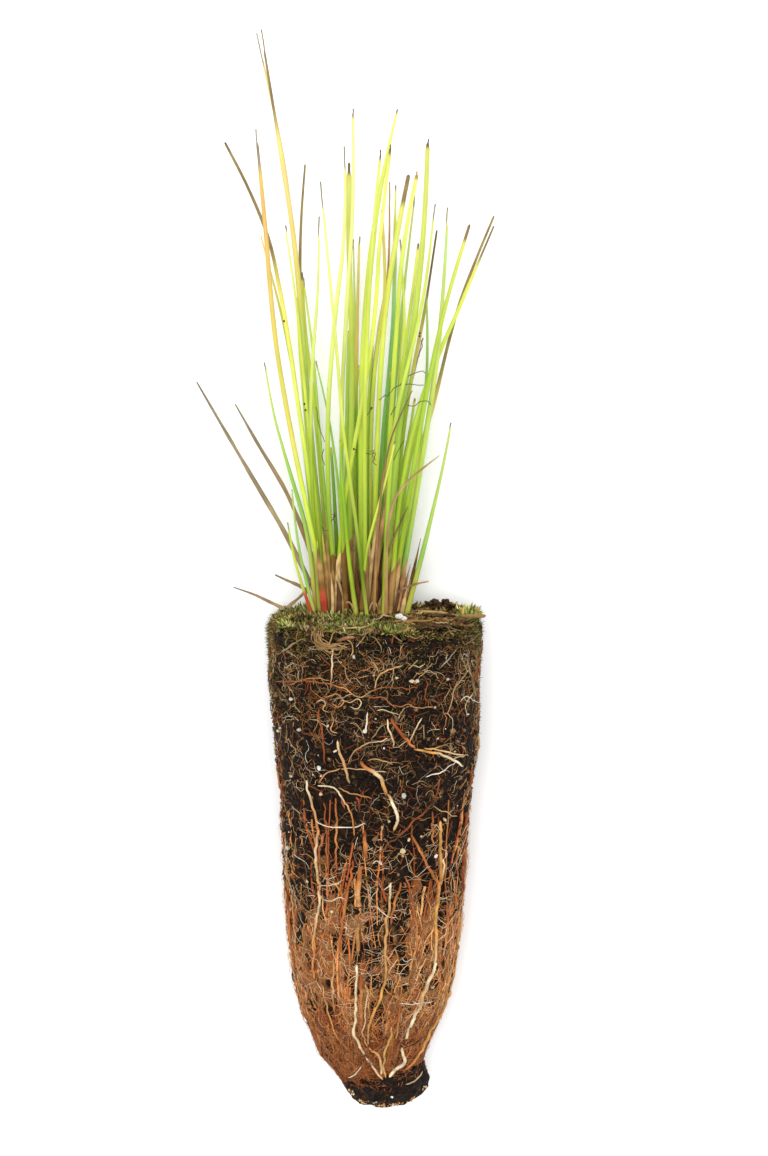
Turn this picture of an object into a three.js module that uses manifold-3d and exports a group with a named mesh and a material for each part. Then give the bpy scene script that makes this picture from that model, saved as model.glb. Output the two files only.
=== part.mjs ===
// A young clump of soft rush lifted out of a deep growing cell, lying on its side with its root ball bare.
// Lengths are in millimetres. It lies on the surface z = 0, and the origin is under the middle of it.
//
// The plant is shaped in a frame of its own: x across the clump, y up the plant from the rim of the root ball
// (stems above 0, roots below), and z out of the side that faces up. The root ball tapers, so lying on its
// side it tips the whole plant up a little towards the tips of the stems.

import * as THREE from "three";
import { mergeVertices } from "three/addons/utils/BufferGeometryUtils.js";
import Module from "manifold-3d";

const wasm = await Module();
wasm.setup();

// Driving dimensions
const RIM_HALF_WIDTH = 27.4; // of the root ball at its top
const RIM_Y = -4; // soil level at the rim
const TAPER = 0.0659; // loss of half width for each millimetre down the ball
const REST_CUT = 1; // how deep the ball is pressed flat where it lies
const GAP = 0.3; // clear space between pieces that touch
const CORNER_ROUNDNESS = 2.5; // 2 is a round section, more is squarer
const TIP_CUT_Y = -119; // where the root ball ends and the soil crumb begins
const TIP_CUT_SLOPE = 0.21; // the cut is higher on the right
const ROOT_SUNK = 0.35; // how deep a thick root's middle lies under the side of the ball
const FOOT_RISE = 0.6; // from the moss to the middle of a stem's foot
const FOOT_SWELL = 0.1; // share by which a stem is thicker at its foot
const STEM_TAPER = 0.12; // share of its thickness that a stem loses on the way up
const TIP_TAPER = 0.4; // and that it loses besides at its blunt tip
const MOSS_EDGE_INSET = 0.9; // how far the moss stays inside the rim
const MOSS_EDGE_HEIGHT = 1.1; // of the moss at its edge

// How finely the pieces are faceted
const BALL_SIDES = 36;
const BALL_RINGS = 20;
const STEM_SIDES = 5;
const STEM_STEPS = 9;
const ROOT_SIDES = 5;

// Outline of the root ball, from the rim down: y, half width, and how far its middle lies to the right
const BALL_OUTLINE = [
  [RIM_Y, RIM_HALF_WIDTH, -0.3],
  [-12, 27.3, -0.2],
  [-22, 26.9, 0],
  [-37, 26.1, 0.2],
  [-46, 24.6, 0],
  [-61, 24, -0.9],
  [-73, 23.1, -0.3],
  [-88, 21.7, -0.6],
  [-98, 19.9, -0.6],
  [-104.5, 17.8, -1],
  [-110.5, 15, -0.7],
  [-114, 13.9, -1.2],
  [-117, 12.6, -0.6],
  [-120, 11.5, 1],
  [-123, 10.8, 2.1],
  [-126, 8.8, 2],
];

const BALL_BOTTOM_Y = -128;
const BALL_BOTTOM_INSET = 3; // the last ring is this much smaller all round

// Relief on the side of the root ball: how high, how many around the ball, how fast along it, and its phase
const BALL_RELIEF = [
  { height: 0.35, around: 3, along: 0.09, phase: 0.4 },
  { height: 0.3, around: 7, along: 0.21, phase: 1.9 },
  { height: 0.22, around: 5, along: -0.34, phase: 4.1 },
];
const ROOT_RIBS = 10; // shallow upright ribs where roots run down the lower half
const RIB_HEIGHT = 0.35;

// Living stems, one to a line: colour, thickness, the x and z of its foot on the moss, the points x, y that
// it passes on its way up, and the x, y and z of its tip
const STEMS = [
  ["yellow", 1.4, [-11.8, -7], [-15.5, 33], [-18.1, 63], [-20.5, 92], [-24.8, 121], [-28.9, 147, -5]],
  ["yellow", 1.2, [-11.1, -10], [-15.7, 33], [-18.1, 62], [-20.6, 91], [-24.5, 120], [-30.2, 146, -9]],
  ["orange", 1.3, [-13, 2], [-15.3, 16], [-20.4, 41], [-25.2, 69], [-28, 101], [-30, 122.5, 4]],
  ["yellow", 1.2, [-13.8, -4], [-16.1, 27], [-19.6, 51], [-23.1, 74], [-28.1, 97], [-38.3, 118.5, -12]],
  ["yellow", 0.9, [-14.6, -7], [-17.1, 29], [-20.1, 53], [-24, 74], [-29.3, 94.5, -14]],
  ["yellow", 1.2, [-13.4, -12], [-15.7, 25], [-17.6, 48], [-18.9, 70], [-19.4, 92], [-18.1, 112.5, -19]],
  ["lime", 0.9, [-12.3, -5], [-15.5, 30], [-17.9, 55], [-20, 77], [-22.9, 98, -2]],
  ["lime", 0.9, [-10.5, -9], [-12.9, 26], [-14.7, 47], [-16.2, 66], [-18.6, 84, -13]],
  ["lime", 1, [-14.3, 1], [-15.7, 23], [-16.4, 43], [-16, 63], [-14.5, 83], [-14.2, 101, 9]],
  ["green", 0.9, [-2.3, 8], [-5.1, 25], [-8, 47], [-9.8, 69], [-11.8, 91], [-13.5, 110.5, 24]],
  ["lime", 1.2, [-9.7, 0], [-11.9, 27], [-12.1, 51], [-10.4, 74], [-7.9, 97], [-7.8, 118, 1]],
  ["yellow", 1.5, [-6.1, -1], [-6.6, 27], [-6.2, 49], [-6.2, 71], [-6.9, 93], [-6.8, 113.5, -8]],
  ["lime", 1.1, [-7.6, 3], [-8.6, 30], [-8.5, 55], [-7.2, 80], [-5.7, 105], [-5.7, 128, 14]],
  ["orange", 1.2, [-4.9, -9], [-5.2, 29], [-5.2, 52], [-4.8, 74], [-4.3, 94, -20]],
  ["green", 0.9, [-3.9, -12], [-4.6, 29], [-5.1, 52], [-5.4, 73], [-5.9, 93, -24]],
  ["green", 1.8, [-3.4, -3], [-3.6, 30], [-3.5, 55], [-2.2, 80], [0.7, 105], [5.4, 127.5, 5]],
  ["lime", 1.1, [-2.6, 4], [-2.8, 28], [-2.8, 51], [-2.1, 74], [-0.7, 97], [1.3, 118, 17]],
  ["yellow", 1.1, [-10.2, 1], [-8.2, 27], [-5.5, 43], [-2.5, 60], [-0.5, 74], [1, 95], [3.7, 119, 12]],
  ["yellow", 1, [-1.7, -8], [-1.4, 23], [-1.3, 37], [-1, 51], [-0.1, 63], [2.2, 81], [1.4, 101.5, -11]],
  ["brown", 0.8, [-1.2, -12], [-1.4, 24], [-1.6, 39], [-1.1, 54], [0.1, 67], [3.1, 86], [3.3, 108, -19]],
  ["teal", 1.3, [0.7, -12], [0.9, 25], [2.1, 46], [4.1, 67], [4.8, 88], [4.9, 107, -22]],
  ["yellow", 1.4, [-0.9, -3], [-0.3, 25], [0.2, 41], [0.9, 56], [1.7, 69], [4.1, 89], [8.2, 111, 2]],
  ["lime", 1.2, [1.7, -6], [2.5, 26], [3.7, 48], [5.1, 70], [6.9, 92], [10.5, 111.5, -4]],
  ["green", 1, [2.5, -11], [3.2, 25], [4.1, 45], [5.7, 66], [7.7, 86], [9.9, 104.5, -17]],
  ["lime", 1, [3, -7], [4.7, 29], [6.4, 52], [7.2, 73], [6.1, 94, -9]],
  ["lime", 1.6, [2.6, 1], [4, 28], [6.4, 52], [9.6, 75], [12, 99], [12.9, 120.5, 13]],
  ["lime", 1.1, [1.9, 5.7], [2.7, 23], [3.6, 38], [5.2, 52], [8.3, 65], [12.3, 84], [14.6, 104.5, 16]],
  ["brown", 1.1, [3.8, -9], [5.5, 30], [8.3, 54], [12.3, 75], [15.5, 96, -15]],
  ["green", 1.4, [5.4, -2], [9.1, 23], [12.4, 44], [15.3, 64], [17.1, 85], [18, 103, 5]],
  ["yellow", 1.3, [4, 1], [8.6, 32], [12.7, 56], [17.3, 78], [23.4, 99, 9]],
  ["brown", 1.3, [5.8, -4], [9.2, 31], [15.5, 56], [21.2, 78], [29.9, 100, -9]],
  ["yellow", 1.3, [3.5, 2], [6.4, 31], [11.8, 55], [20.8, 77], [29.7, 98, -1]],
  ["green", 1, [5.1, -7], [8.4, 25], [11.3, 44], [13, 62], [12.9, 79, -12]],
  ["brown", 0.8, [2.5, -13], [3.8, 22], [5.7, 38], [8.4, 53], [12, 68, -20]],
  ["green", 1.3, [7.8, 3], [11.6, 15], [14.4, 27], [17, 39], [18.9, 49.5, 11]],
  ["yellow", 0.8, [-3.6, 6], [-2.4, 16], [0, 26], [2.7, 36], [4.8, 45, 12]],
  ["green", 1.1, [-15.3, -2], [-17.6, 20], [-22, 36], [-25.8, 50], [-28.2, 63.5, -1]],
  ["green", 1.1, [-15.8, 3], [-19.5, 17], [-21.3, 32, 6]],
  ["green", 1.1, [-16.5, 5], [-20.2, 13], [-22.4, 24, 9]],
  ["green", 0.8, [-6.9, -5], [-8.7, 20], [-10, 36], [-12.1, 50], [-15.2, 64, 0]],
  ["green", 1.2, [-5.1, 5], [-6.9, 15], [-7.8, 26], [-8.6, 36], [-9, 45, 9]],
];

// Dead blades that lean out of the clump, in the same form
const DEAD_BLADES = [
  ["straw", 1, [-13.9, -9], [-23, 18], [-31.3, 32], [-39, 45], [-46, 57, -17]],
  ["brown", 1, [-12.9, -10], [-17.7, 16], [-23, 29], [-29.5, 40], [-36.1, 51.5, -15]],
  ["straw", 1, [2.5, 8], [2.7, 15], [3.4, 25], [6.3, 33], [15.9, 41.5, 14]],
  ["brown", 1, [2, 3], [2.9, 15], [8, 28, 9]],
  ["brown", 0.9, [-0.5, 6], [0.3, 20], [1.5, 33], [3.9, 46], [9.1, 58, 15]],
];

// Litter at the foot of the clump: colour, thickness, and the points that each piece passes through
const LITTER = [
  ["straw", 1, [-16.9, 4.2, -3], [-19.2, 5.9, -3.5], [-23, 7.6, -4], [-25.8, 8.8, -4.5]],
  ["straw", 0.9, [-23.2, 0.9, 2], [-28, 3.1, 1], [-31, 4.4, 0], [-36.3, 6.1, -1]],
  ["brown", 0.9, [-22.9, 0, -6.5], [-18.9, 3.3, -7.2], [-15.6, 7.9, -8]],
  ["brown", 0.8, [5.3, 5.9, 8.5], [6.9, 7.1, 9], [10, 8.4, 9.5], [13.3, 9.2, 10]],
  ["straw", 1.2, [10.7, 0, 0], [16.8, -0.3, 1], [20.6, -0.7, 3], [27.9, -0.5, 4]],
];

// Thick roots on the side that faces up: the points x, y that each passes on the ball
const THICK_ROOTS = [
  { route: [[-3.6, -37.5], [-1.5, -40.5], [1.2, -42.8], [3, -46], [5.2, -50], [4.6, -55.5]], thick: 1.4 },
  { route: [[-17.8, -43.7], [-16, -50], [-14.6, -58], [-14.5, -71], [-15, -80], [-15.8, -94]], thick: 1 },
  { route: [[-4, -64], [-4.5, -78], [-4.9, -92], [-5, -104.6], [-3.9, -110.5], [-0.5, -117]], thick: 1.3 },
  { route: [[3.6, -69], [2.4, -88], [0.3, -100], [-1.8, -104.5], [-2, -109.5], [0.8, -114.5]], thick: 1.1 },
  { route: [[16.4, -53.5], [16.3, -70], [15.3, -88], [12.5, -97], [8, -107], [5, -117]], thick: 1.5 },
];

const COLOURS = {
  soil: 0x2b1d13,
  crumb: 0x17120e,
  moss: 0x5d6b25,
  root: 0xd9b27c,
  grain: 0xe9e5da,
  yellow: 0xdcd24a,
  orange: 0xd9a24a,
  lime: 0xb4cf3c,
  green: 0x86b83a,
  teal: 0x74b877,
  brown: 0x8f7350,
  straw: 0xa98d62,
};

// A closed skin over rings of points, all with as many points and running the same way around. Each end is
// closed to its middle.
function loft(rings) {
  const sides = rings[0].length;
  const points = rings.flat();
  const middle = (ring) => ring.reduce((sum, p) => sum.add(p), new THREE.Vector3()).divideScalar(sides);
  const faces = [];
  for (let r = 0; r + 1 < rings.length; r += 1) {
    for (let s = 0; s < sides; s += 1) {
      const next = (s + 1) % sides;
      const a = r * sides + s;
      const b = r * sides + next;
      faces.push(a, b, b + sides, a, b + sides, a + sides);
    }
  }
  const first = points.push(middle(rings[0])) - 1;
  const last = points.push(middle(rings[rings.length - 1])) - 1;
  const top = (rings.length - 1) * sides;
  for (let s = 0; s < sides; s += 1) {
    const next = (s + 1) % sides;
    faces.push(first, next, s, last, top + s, top + next);
  }
  const geometry = new THREE.BufferGeometry().setFromPoints(points);
  geometry.setIndex(faces);
  return geometry;
}

// A tube along a curve, whose radius is a function of how far along it is, from 0 to 1
function tube(curve, radiusAt, sides, steps) {
  const frames = curve.computeFrenetFrames(steps, false);
  const rings = [];
  for (let i = 0; i <= steps; i += 1) {
    const t = i / steps;
    const centre = curve.getPointAt(t);
    const ring = [];
    for (let s = 0; s < sides; s += 1) {
      const angle = (2 * Math.PI * s) / sides;
      const out = frames.normals[i].clone().multiplyScalar(Math.cos(angle));
      out.addScaledVector(frames.binormals[i], Math.sin(angle));
      ring.push(centre.clone().addScaledVector(out, radiusAt(t)));
    }
    rings.push(ring);
  }
  return loft(rings);
}

function toSolid(geometry) {
  const bare = geometry.clone();
  bare.deleteAttribute("normal");
  bare.deleteAttribute("uv");
  const merged = mergeVertices(bare, 1e-4);
  const vertProperties = new Float32Array(merged.attributes.position.array);
  const triVerts = new Uint32Array(merged.index.array);
  return new wasm.Manifold(new wasm.Mesh({ numProp: 3, vertProperties, triVerts }));
}

function fromSolid(solid) {
  const mesh = solid.getMesh();
  const geometry = new THREE.BufferGeometry();
  geometry.setAttribute("position", new THREE.BufferAttribute(mesh.vertProperties, mesh.numProp));
  geometry.setIndex(new THREE.BufferAttribute(mesh.triVerts, 1));
  return geometry;
}

function named(name, geometry, colour, roughness) {
  geometry.computeVertexNormals();
  const material = new THREE.MeshStandardMaterial({ color: COLOURS[colour], roughness, metalness: 0 });
  const mesh = new THREE.Mesh(geometry, material);
  mesh.name = name;
  return mesh;
}

// Shape of the root ball

const outlineCurve = new THREE.CatmullRomCurve3(
  BALL_OUTLINE.map(([y, half, across]) => new THREE.Vector3(half, y, across)),
);

function total(values) {
  return values.reduce((sum, value) => sum + value, 0);
}

function relief(angle, y) {
  const waves = BALL_RELIEF.map((w) => w.height * Math.sin(w.around * angle + w.along * y + w.phase));
  const lowerHalf = THREE.MathUtils.smoothstep(-y, 50, 75);
  return total(waves) + lowerHalf * RIB_HEIGHT * Math.cos(ROOT_RIBS * angle);
}

// The section is rounded-square above and becomes round towards the narrow end
function roundnessAt(y) {
  return THREE.MathUtils.lerp(CORNER_ROUNDNESS, 2, THREE.MathUtils.smoothstep(-y, 60, 110));
}

// Half width of the ball and how far right its middle lies, at a place from 0 at the rim to 1 at the bottom
function ballSection(t) {
  const { x: half, y, z: across } = outlineCurve.getPoint(t);
  return { half, y, across };
}

function ballRing(t, inset = 0) {
  const { half, y, across } = ballSection(t);
  const roundness = roundnessAt(y);
  const ring = [];
  for (let s = 0; s < BALL_SIDES; s += 1) {
    const angle = (2 * Math.PI * s) / BALL_SIDES;
    const c = Math.abs(Math.cos(angle)) ** roundness;
    const d = Math.abs(Math.sin(angle)) ** roundness;
    const reach = (half - inset) / (c + d) ** (1 / roundness) + relief(angle, y);
    ring.push(new THREE.Vector3(across + reach * Math.cos(angle), y, -reach * Math.sin(angle)));
  }
  return ring;
}

function wholeBall() {
  const rings = [ballRing(1, BALL_BOTTOM_INSET)];
  rings[0].forEach((p) => p.setY(BALL_BOTTOM_Y));
  for (let r = BALL_RINGS; r >= 0; r -= 1) rings.push(ballRing(r / BALL_RINGS));
  return toSolid(loft(rings));
}

const BLOCK_SIZE = 600; // of the blocks that cut, larger than the whole plant

// A block above or below the slanting cut between root ball and soil crumb
function tipBlock(above) {
  const block = new THREE.BoxGeometry(BLOCK_SIZE, BLOCK_SIZE, BLOCK_SIZE);
  block.translate(0, (above ? 1 : -1) * (BLOCK_SIZE / 2 + GAP / 2), 0);
  block.rotateZ(Math.atan(TIP_CUT_SLOPE));
  block.translate(0, TIP_CUT_Y, 0);
  return toSolid(block);
}

// The space above the surface that the plant lies on, in the plant's own frame
const tilt = Math.atan(TAPER);
const axisHeight = (RIM_HALF_WIDTH - REST_CUT - TAPER * RIM_Y) * Math.cos(tilt);

function aboveRestBlock() {
  const block = new THREE.BoxGeometry(BLOCK_SIZE, BLOCK_SIZE, BLOCK_SIZE);
  block.translate(0, 0, BLOCK_SIZE / 2 - axisHeight);
  block.rotateX(-tilt);
  return toSolid(block);
}

// Thick roots, each laid in a groove along the upper side of the ball

function heightOnBall(x, y) {
  let low = 0;
  let high = 1;
  for (let i = 0; i < 20; i += 1) {
    const t = (low + high) / 2;
    if (ballSection(t).y > y) low = t;
    else high = t;
  }
  const { half, across } = ballSection(low);
  const roundness = roundnessAt(y);
  const flat = (half ** roundness - Math.abs(x - across) ** roundness) ** (1 / roundness);
  return flat + relief(Math.atan2(-flat, x - across), y);
}

function rootCurve({ route }) {
  return new THREE.CatmullRomCurve3(
    route.map(([x, y]) => new THREE.Vector3(x, y, heightOnBall(x, y) - ROOT_SUNK)),
    false,
    "centripetal",
  );
}

function rootSolid(root, extra) {
  const radius = root.thick / 2;
  const taper = (t) => radius * (0.55 + 0.45 * Math.sin(Math.PI * (0.15 + 0.7 * t))) + extra;
  return tube(rootCurve(root), taper, ROOT_SIDES, 2 * root.route.length);
}

// Crown: level of the moss and of the feet of the stems

const MOSS_LEVEL = -1.8; // of the moss away from its bumps
const MOSS_BUMPS = [
  { x: -3, z: -3, height: 2.4, width: 15 }, // the mound that the clump stands on
  { x: -19, z: 9, height: 1.6, width: 7 },
  { x: -9, z: 19, height: 0.9, width: 6 },
  { x: 3, z: 20, height: 0.8, width: 5 },
  { x: 17, z: -10, height: 1.8, width: 5 },
  { x: 23, z: -4, height: 1.4, width: 4 },
];

function crownLevel(x, z) {
  const bumpAt = (b) => b.height * Math.exp(-(((x - b.x) / b.width) ** 2) - ((z - b.z) / b.width) ** 2);
  return MOSS_LEVEL + total(MOSS_BUMPS.map(bumpAt));
}

function mossMat() {
  const edge = ballRing(0, MOSS_EDGE_INSET);
  const edgeAt = (y) => edge.map((p) => new THREE.Vector3(p.x, y, p.z));
  const rings = [edgeAt(RIM_Y + GAP), edgeAt(RIM_Y + GAP + MOSS_EDGE_HEIGHT)];
  for (const scale of [0.95, 0.8, 0.62, 0.42, 0.2]) {
    const inner = edge.map((p) => [p.x * scale, p.z * scale]);
    rings.push(inner.map(([x, z]) => new THREE.Vector3(x, crownLevel(x, z), z)));
  }
  return named("moss_mat", fromSolid(toSolid(loft(rings)).intersect(aboveRestBlock())), "moss", 1);
}

// Stems: each leans evenly in depth, and bends across the clump through the points of its route

const CLEARANCE_STEP = 2.5; // between the levels at which two stems are compared
const SLANT_ALLOWANCE = 1.12; // more room, because stems lean
const CLEAR_ENOUGH = 0.03;
const MOST_ROUNDS = 400;

function stemFrom([colour, thick, [footX, footZ], ...route]) {
  const footY = crownLevel(footX, footZ) + FOOT_RISE;
  const [, tipY, tipZ] = route[route.length - 1];
  const passed = [[footX, footY], ...route];
  const heights = passed.map(([, y]) => y);
  const places = passed.map(([x]) => x);
  const across = new THREE.CubicInterpolant(heights, places, 1, [0]);
  return { footY, tipY, footZ, tipZ, across, thick, colour };
}

function pointOnStem(stem, t) {
  const y = THREE.MathUtils.lerp(stem.footY, stem.tipY, t);
  const [x] = stem.across.evaluate(y);
  return new THREE.Vector3(x, y, THREE.MathUtils.lerp(stem.footZ, stem.tipZ, t));
}

function stemRadius(stem, t) {
  const swell = FOOT_SWELL * (1 - THREE.MathUtils.smoothstep(t, 0, 0.12));
  const blunt = TIP_TAPER * THREE.MathUtils.smoothstep(t, 0.92, 1);
  return (stem.thick / 2) * (1 + swell - STEM_TAPER * t - blunt);
}

function shiftInDepth(stem, t, distance) {
  stem.footZ += distance * (1 - t);
  stem.tipZ += distance * t;
}

// Moves two stems apart in depth wherever they come too near each other, and gives the most that they lacked
function partPair(a, b) {
  let worst = 0;
  const top = Math.min(a.tipY, b.tipY);
  for (let y = Math.max(a.footY, b.footY); y <= top; y += CLEARANCE_STEP) {
    const ta = (y - a.footY) / (a.tipY - a.footY);
    const tb = (y - b.footY) / (b.tipY - b.footY);
    const pa = pointOnStem(a, ta);
    const pb = pointOnStem(b, tb);
    const room = (stemRadius(a, ta) + stemRadius(b, tb) + GAP) * SLANT_ALLOWANCE;
    const across = Math.abs(pa.x - pb.x);
    if (across >= room) continue;
    const lack = Math.sqrt(room ** 2 - across ** 2) - Math.abs(pa.z - pb.z);
    if (lack <= 0) continue;
    const side = pa.z >= pb.z ? 1 : -1;
    shiftInDepth(a, ta, (side * lack) / 2);
    shiftInDepth(b, tb, (-side * lack) / 2);
    worst = Math.max(worst, lack);
  }
  return worst;
}

// Goes over every pair of stems until all are clear of one another
function easeApart(stems) {
  let worst = CLEAR_ENOUGH;
  for (let round = 0; round < MOST_ROUNDS && worst >= CLEAR_ENOUGH; round += 1) {
    worst = 0;
    stems.forEach((a, i) => {
      for (const b of stems.slice(i + 1)) worst = Math.max(worst, partPair(a, b));
    });
  }
}

function stemMesh(stem, name) {
  const route = [];
  for (let i = 0; i <= STEM_STEPS; i += 1) route.push(pointOnStem(stem, i / STEM_STEPS));
  const curve = new THREE.CatmullRomCurve3(route);
  return named(name, tube(curve, (t) => stemRadius(stem, t), STEM_SIDES, STEM_STEPS), stem.colour, 0.5);
}

function litterMesh([colour, thick, ...route], name) {
  const curve = new THREE.CatmullRomCurve3(route.map((p) => new THREE.Vector3(...p)));
  const radiusAt = (t) => (thick / 2) * (1 - 0.3 * t);
  return named(name, tube(curve, radiusAt, STEM_SIDES, STEM_STEPS), colour, 0.8);
}

function numbered(word, index) {
  return `${word}_${String(index + 1).padStart(2, "0")}`;
}

function rootBall() {
  let solid = wholeBall().intersect(tipBlock(true)).intersect(aboveRestBlock());
  for (const root of THICK_ROOTS) solid = solid.subtract(toSolid(rootSolid(root, GAP)));
  return named("root_ball", fromSolid(solid), "soil", 0.95);
}

function soilCrumb() {
  return named("soil_crumb", fromSolid(wholeBall().intersect(tipBlock(false))), "crumb", 1);
}

const GRAIN = { x: 6.5, y: 0.3, z: 12.5, radius: 1.2 };

function perliteGrain() {
  const grain = new THREE.IcosahedronGeometry(GRAIN.radius, 1);
  grain.scale(1.2, 0.8, 0.9);
  grain.translate(GRAIN.x, GRAIN.y, GRAIN.z);
  return named("perlite_grain", fromSolid(toSolid(grain)), "grain", 0.9);
}

function buildPlant() {
  const plant = new THREE.Group();
  plant.add(rootBall(), soilCrumb(), mossMat(), perliteGrain());
  const stems = STEMS.map(stemFrom);
  const blades = DEAD_BLADES.map(stemFrom);
  easeApart([...stems, ...blades]);
  stems.forEach((stem, i) => plant.add(stemMesh(stem, numbered("stem", i))));
  blades.forEach((blade, i) => plant.add(stemMesh(blade, numbered("dead_blade", i))));
  LITTER.forEach((piece, i) => plant.add(litterMesh(piece, numbered("litter", i))));
  THICK_ROOTS.forEach((root, i) => {
    plant.add(named(numbered("thick_root", i), rootSolid(root, 0), "root", 0.8));
  });
  plant.rotation.x = tilt;
  plant.position.z = axisHeight;
  return plant;
}

// The plant is moved so that the origin is under the middle of its bounding box
function centred(plant) {
  const whole = new THREE.Group();
  whole.add(plant);
  whole.updateMatrixWorld(true);
  const middle = new THREE.Box3().setFromObject(whole, true).getCenter(new THREE.Vector3());
  whole.position.set(-middle.x, -middle.y, 0);
  whole.updateMatrixWorld(true);
  return whole;
}

export default centred(buildPlant());
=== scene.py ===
"""A young soft rush lifted out of its growing cell, lying on its side with its root ball bare.

Sizes are in millimetres in the plant's own frame: x across the clump, y up the plant from the rim of the root
ball, z out of the side that faces up. PLACE takes them to metres in the row frame. Routes on the root ball
are given as picture points, across,down, and SIGHT lays them on its surface along the line of sight. Tables
are written in words: a semicolon ends a row, bars part its columns, and the numbers that a row leaves out
at the end of a column are its class's own.
"""

import logging
import math
from collections.abc import Callable
from dataclasses import dataclass, field
from enum import Enum

import bmesh
import bpy
import numpy as np
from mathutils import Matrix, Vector
from mathutils.bvhtree import BVHTree
from numpy.random import Generator, default_rng


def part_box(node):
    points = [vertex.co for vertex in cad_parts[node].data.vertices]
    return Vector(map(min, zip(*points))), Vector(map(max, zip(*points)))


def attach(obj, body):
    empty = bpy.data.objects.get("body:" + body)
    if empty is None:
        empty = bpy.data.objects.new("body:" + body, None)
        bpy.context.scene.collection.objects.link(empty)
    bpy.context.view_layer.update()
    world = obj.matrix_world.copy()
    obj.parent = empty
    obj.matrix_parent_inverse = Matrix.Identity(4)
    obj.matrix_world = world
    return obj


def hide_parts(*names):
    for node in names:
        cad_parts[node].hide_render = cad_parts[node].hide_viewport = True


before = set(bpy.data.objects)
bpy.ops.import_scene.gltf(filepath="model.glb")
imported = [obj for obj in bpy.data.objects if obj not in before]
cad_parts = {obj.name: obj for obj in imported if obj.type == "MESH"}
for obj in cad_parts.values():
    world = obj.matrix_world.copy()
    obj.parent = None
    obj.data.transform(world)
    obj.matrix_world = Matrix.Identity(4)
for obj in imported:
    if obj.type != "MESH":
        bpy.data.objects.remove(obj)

log = logging.getLogger("rush")
SAME_PLACE = 2e-6
FLOOR_ROOM = 2e-5
TURN = 2 * math.pi
THIRDS_OF_TURN = (0, 2.09, 4.19)
ASKEW = (0.31, 0.77, 0.55)
CURVE_STEPS = 16
CELL_FACTORS = np.array([374761393, 668265263, 974634777])
SEED_FACTOR = 69069
SCRAMBLER = 1274126177
LOW_BITS = 0xFFFF
TINY = 1e-6
Array = np.ndarray
BMesh = bmesh.types.BMesh
Mesh = bpy.types.Mesh
Material = bpy.types.Material


def linear(code: int) -> Array:
    """Turns a screen colour into light.

    Args:
        code: the colour as 0xRRGGBB.

    Returns:
        Its red, green and blue as linear numbers.
    """
    parts = np.array([code >> 16, (code >> 8) & 255, code & 255]) / 255
    return np.where(parts <= 0.04045, parts / 12.92, ((parts + 0.055) / 1.055) ** 2.4)


class Tint(Enum):
    """The plant's colours, as they look in even light."""

    PALE_LEMON = 0xD2D486
    LEMON = 0xC6CC66
    SUN = 0xC0C550
    LIME = 0xB4C24A
    GRASS = 0xA4B632
    MEADOW = 0x8CAA2A
    LEAF = 0x869C22
    DEEP = 0x608014
    VIVID = 0x6E9E22
    FRESH = 0x7EA84A
    SPRING = 0x9AB262
    TEAL = 0x8CC07C
    PALE_GOLD = 0xCFBA7A
    GOLD = 0xCFBA5E
    BRIGHT = 0xDCCC64
    AMBER = 0xC09C58
    DRY_TIP = 0x7E7460
    DRY_OLIVE = 0x7C6B42
    DARK_TIP = 0x665538
    FOOT = 0xA9AC48
    SHEATH = 0xA07A48
    SHEATH_DARK = 0x745428
    SHEATH_PALE = 0xC6A670
    SHEATH_PINK = 0xAC7C58
    GREY_HAIR = 0x55524E
    RED = 0xA7432E
    STRAW = 0xA28A62
    TWIG = 0x6E5740
    CREAM = 0xF3E3BE
    PALE = 0xE3CBA0
    TAN = 0xC79A66
    ORANGE = 0xC07C44
    GOLD_ROOT = 0xD09A52
    RUST = 0x9A5028
    DARK_RUST = 0x6C321B
    ROOT_BROWN = 0x8C6642
    HAIR = 0xE8DEC9
    BARK = 0x5A3D28
    MOSS = 0x85893E
    MOSS_LIGHT = 0xB8BA5C
    MOSS_PALE = 0xCCC880
    MOSS_DEEP = 0x565C2A
    MOSS_BLUE = 0x68844A
    OLIVE = 0x6F6A2C
    UMBER = 0x4A3A1E
    SOIL = 0x1E1611
    PEAT = 0x3A281B
    STONE = 0xC9BFAE
    WHITE = 0xF4F0E6

    @property
    def rgb(self) -> Array:
        """The colour as linear numbers."""
        return linear(self.value)


def palette(names: str) -> Array:
    """Several tints, named in a row, as rows of linear numbers."""
    return np.array([Tint[name].rgb for name in names.split()])


def drawn(rng: Generator, names: str, count: int) -> Array:
    """A tint for each of many parts, drawn from the named ones."""
    shades = palette(names)
    return shades[rng.integers(0, len(shades), count)]


def toward(first: Array, second: Array, share: Array) -> Array:
    """Colours that are some share of the way from one to another."""
    return first * (1 - share) + second * share


def rows_of(table: str) -> list[list[str]]:
    """The rows of a table in words, each ended by a semicolon, as columns parted by bars."""
    return [row.split("|") for row in table.split(";")[:-1]]


def floats_of(words: str) -> list[float]:
    """Numbers parted by blanks."""
    return [float(word) for word in words.split()]


def points_of(words: str) -> Array:
    """Points parted by blanks, with commas between their numbers, in rows."""
    return np.array([point.split(",") for point in words.split()], float)


def steps_of(words: str) -> tuple[list[float], Array]:
    """Numbers that each have a tint after them, and those tints in rows."""
    parts = words.split()
    return [float(part) for part in parts[::2]], palette(" ".join(parts[1::2]))


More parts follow.
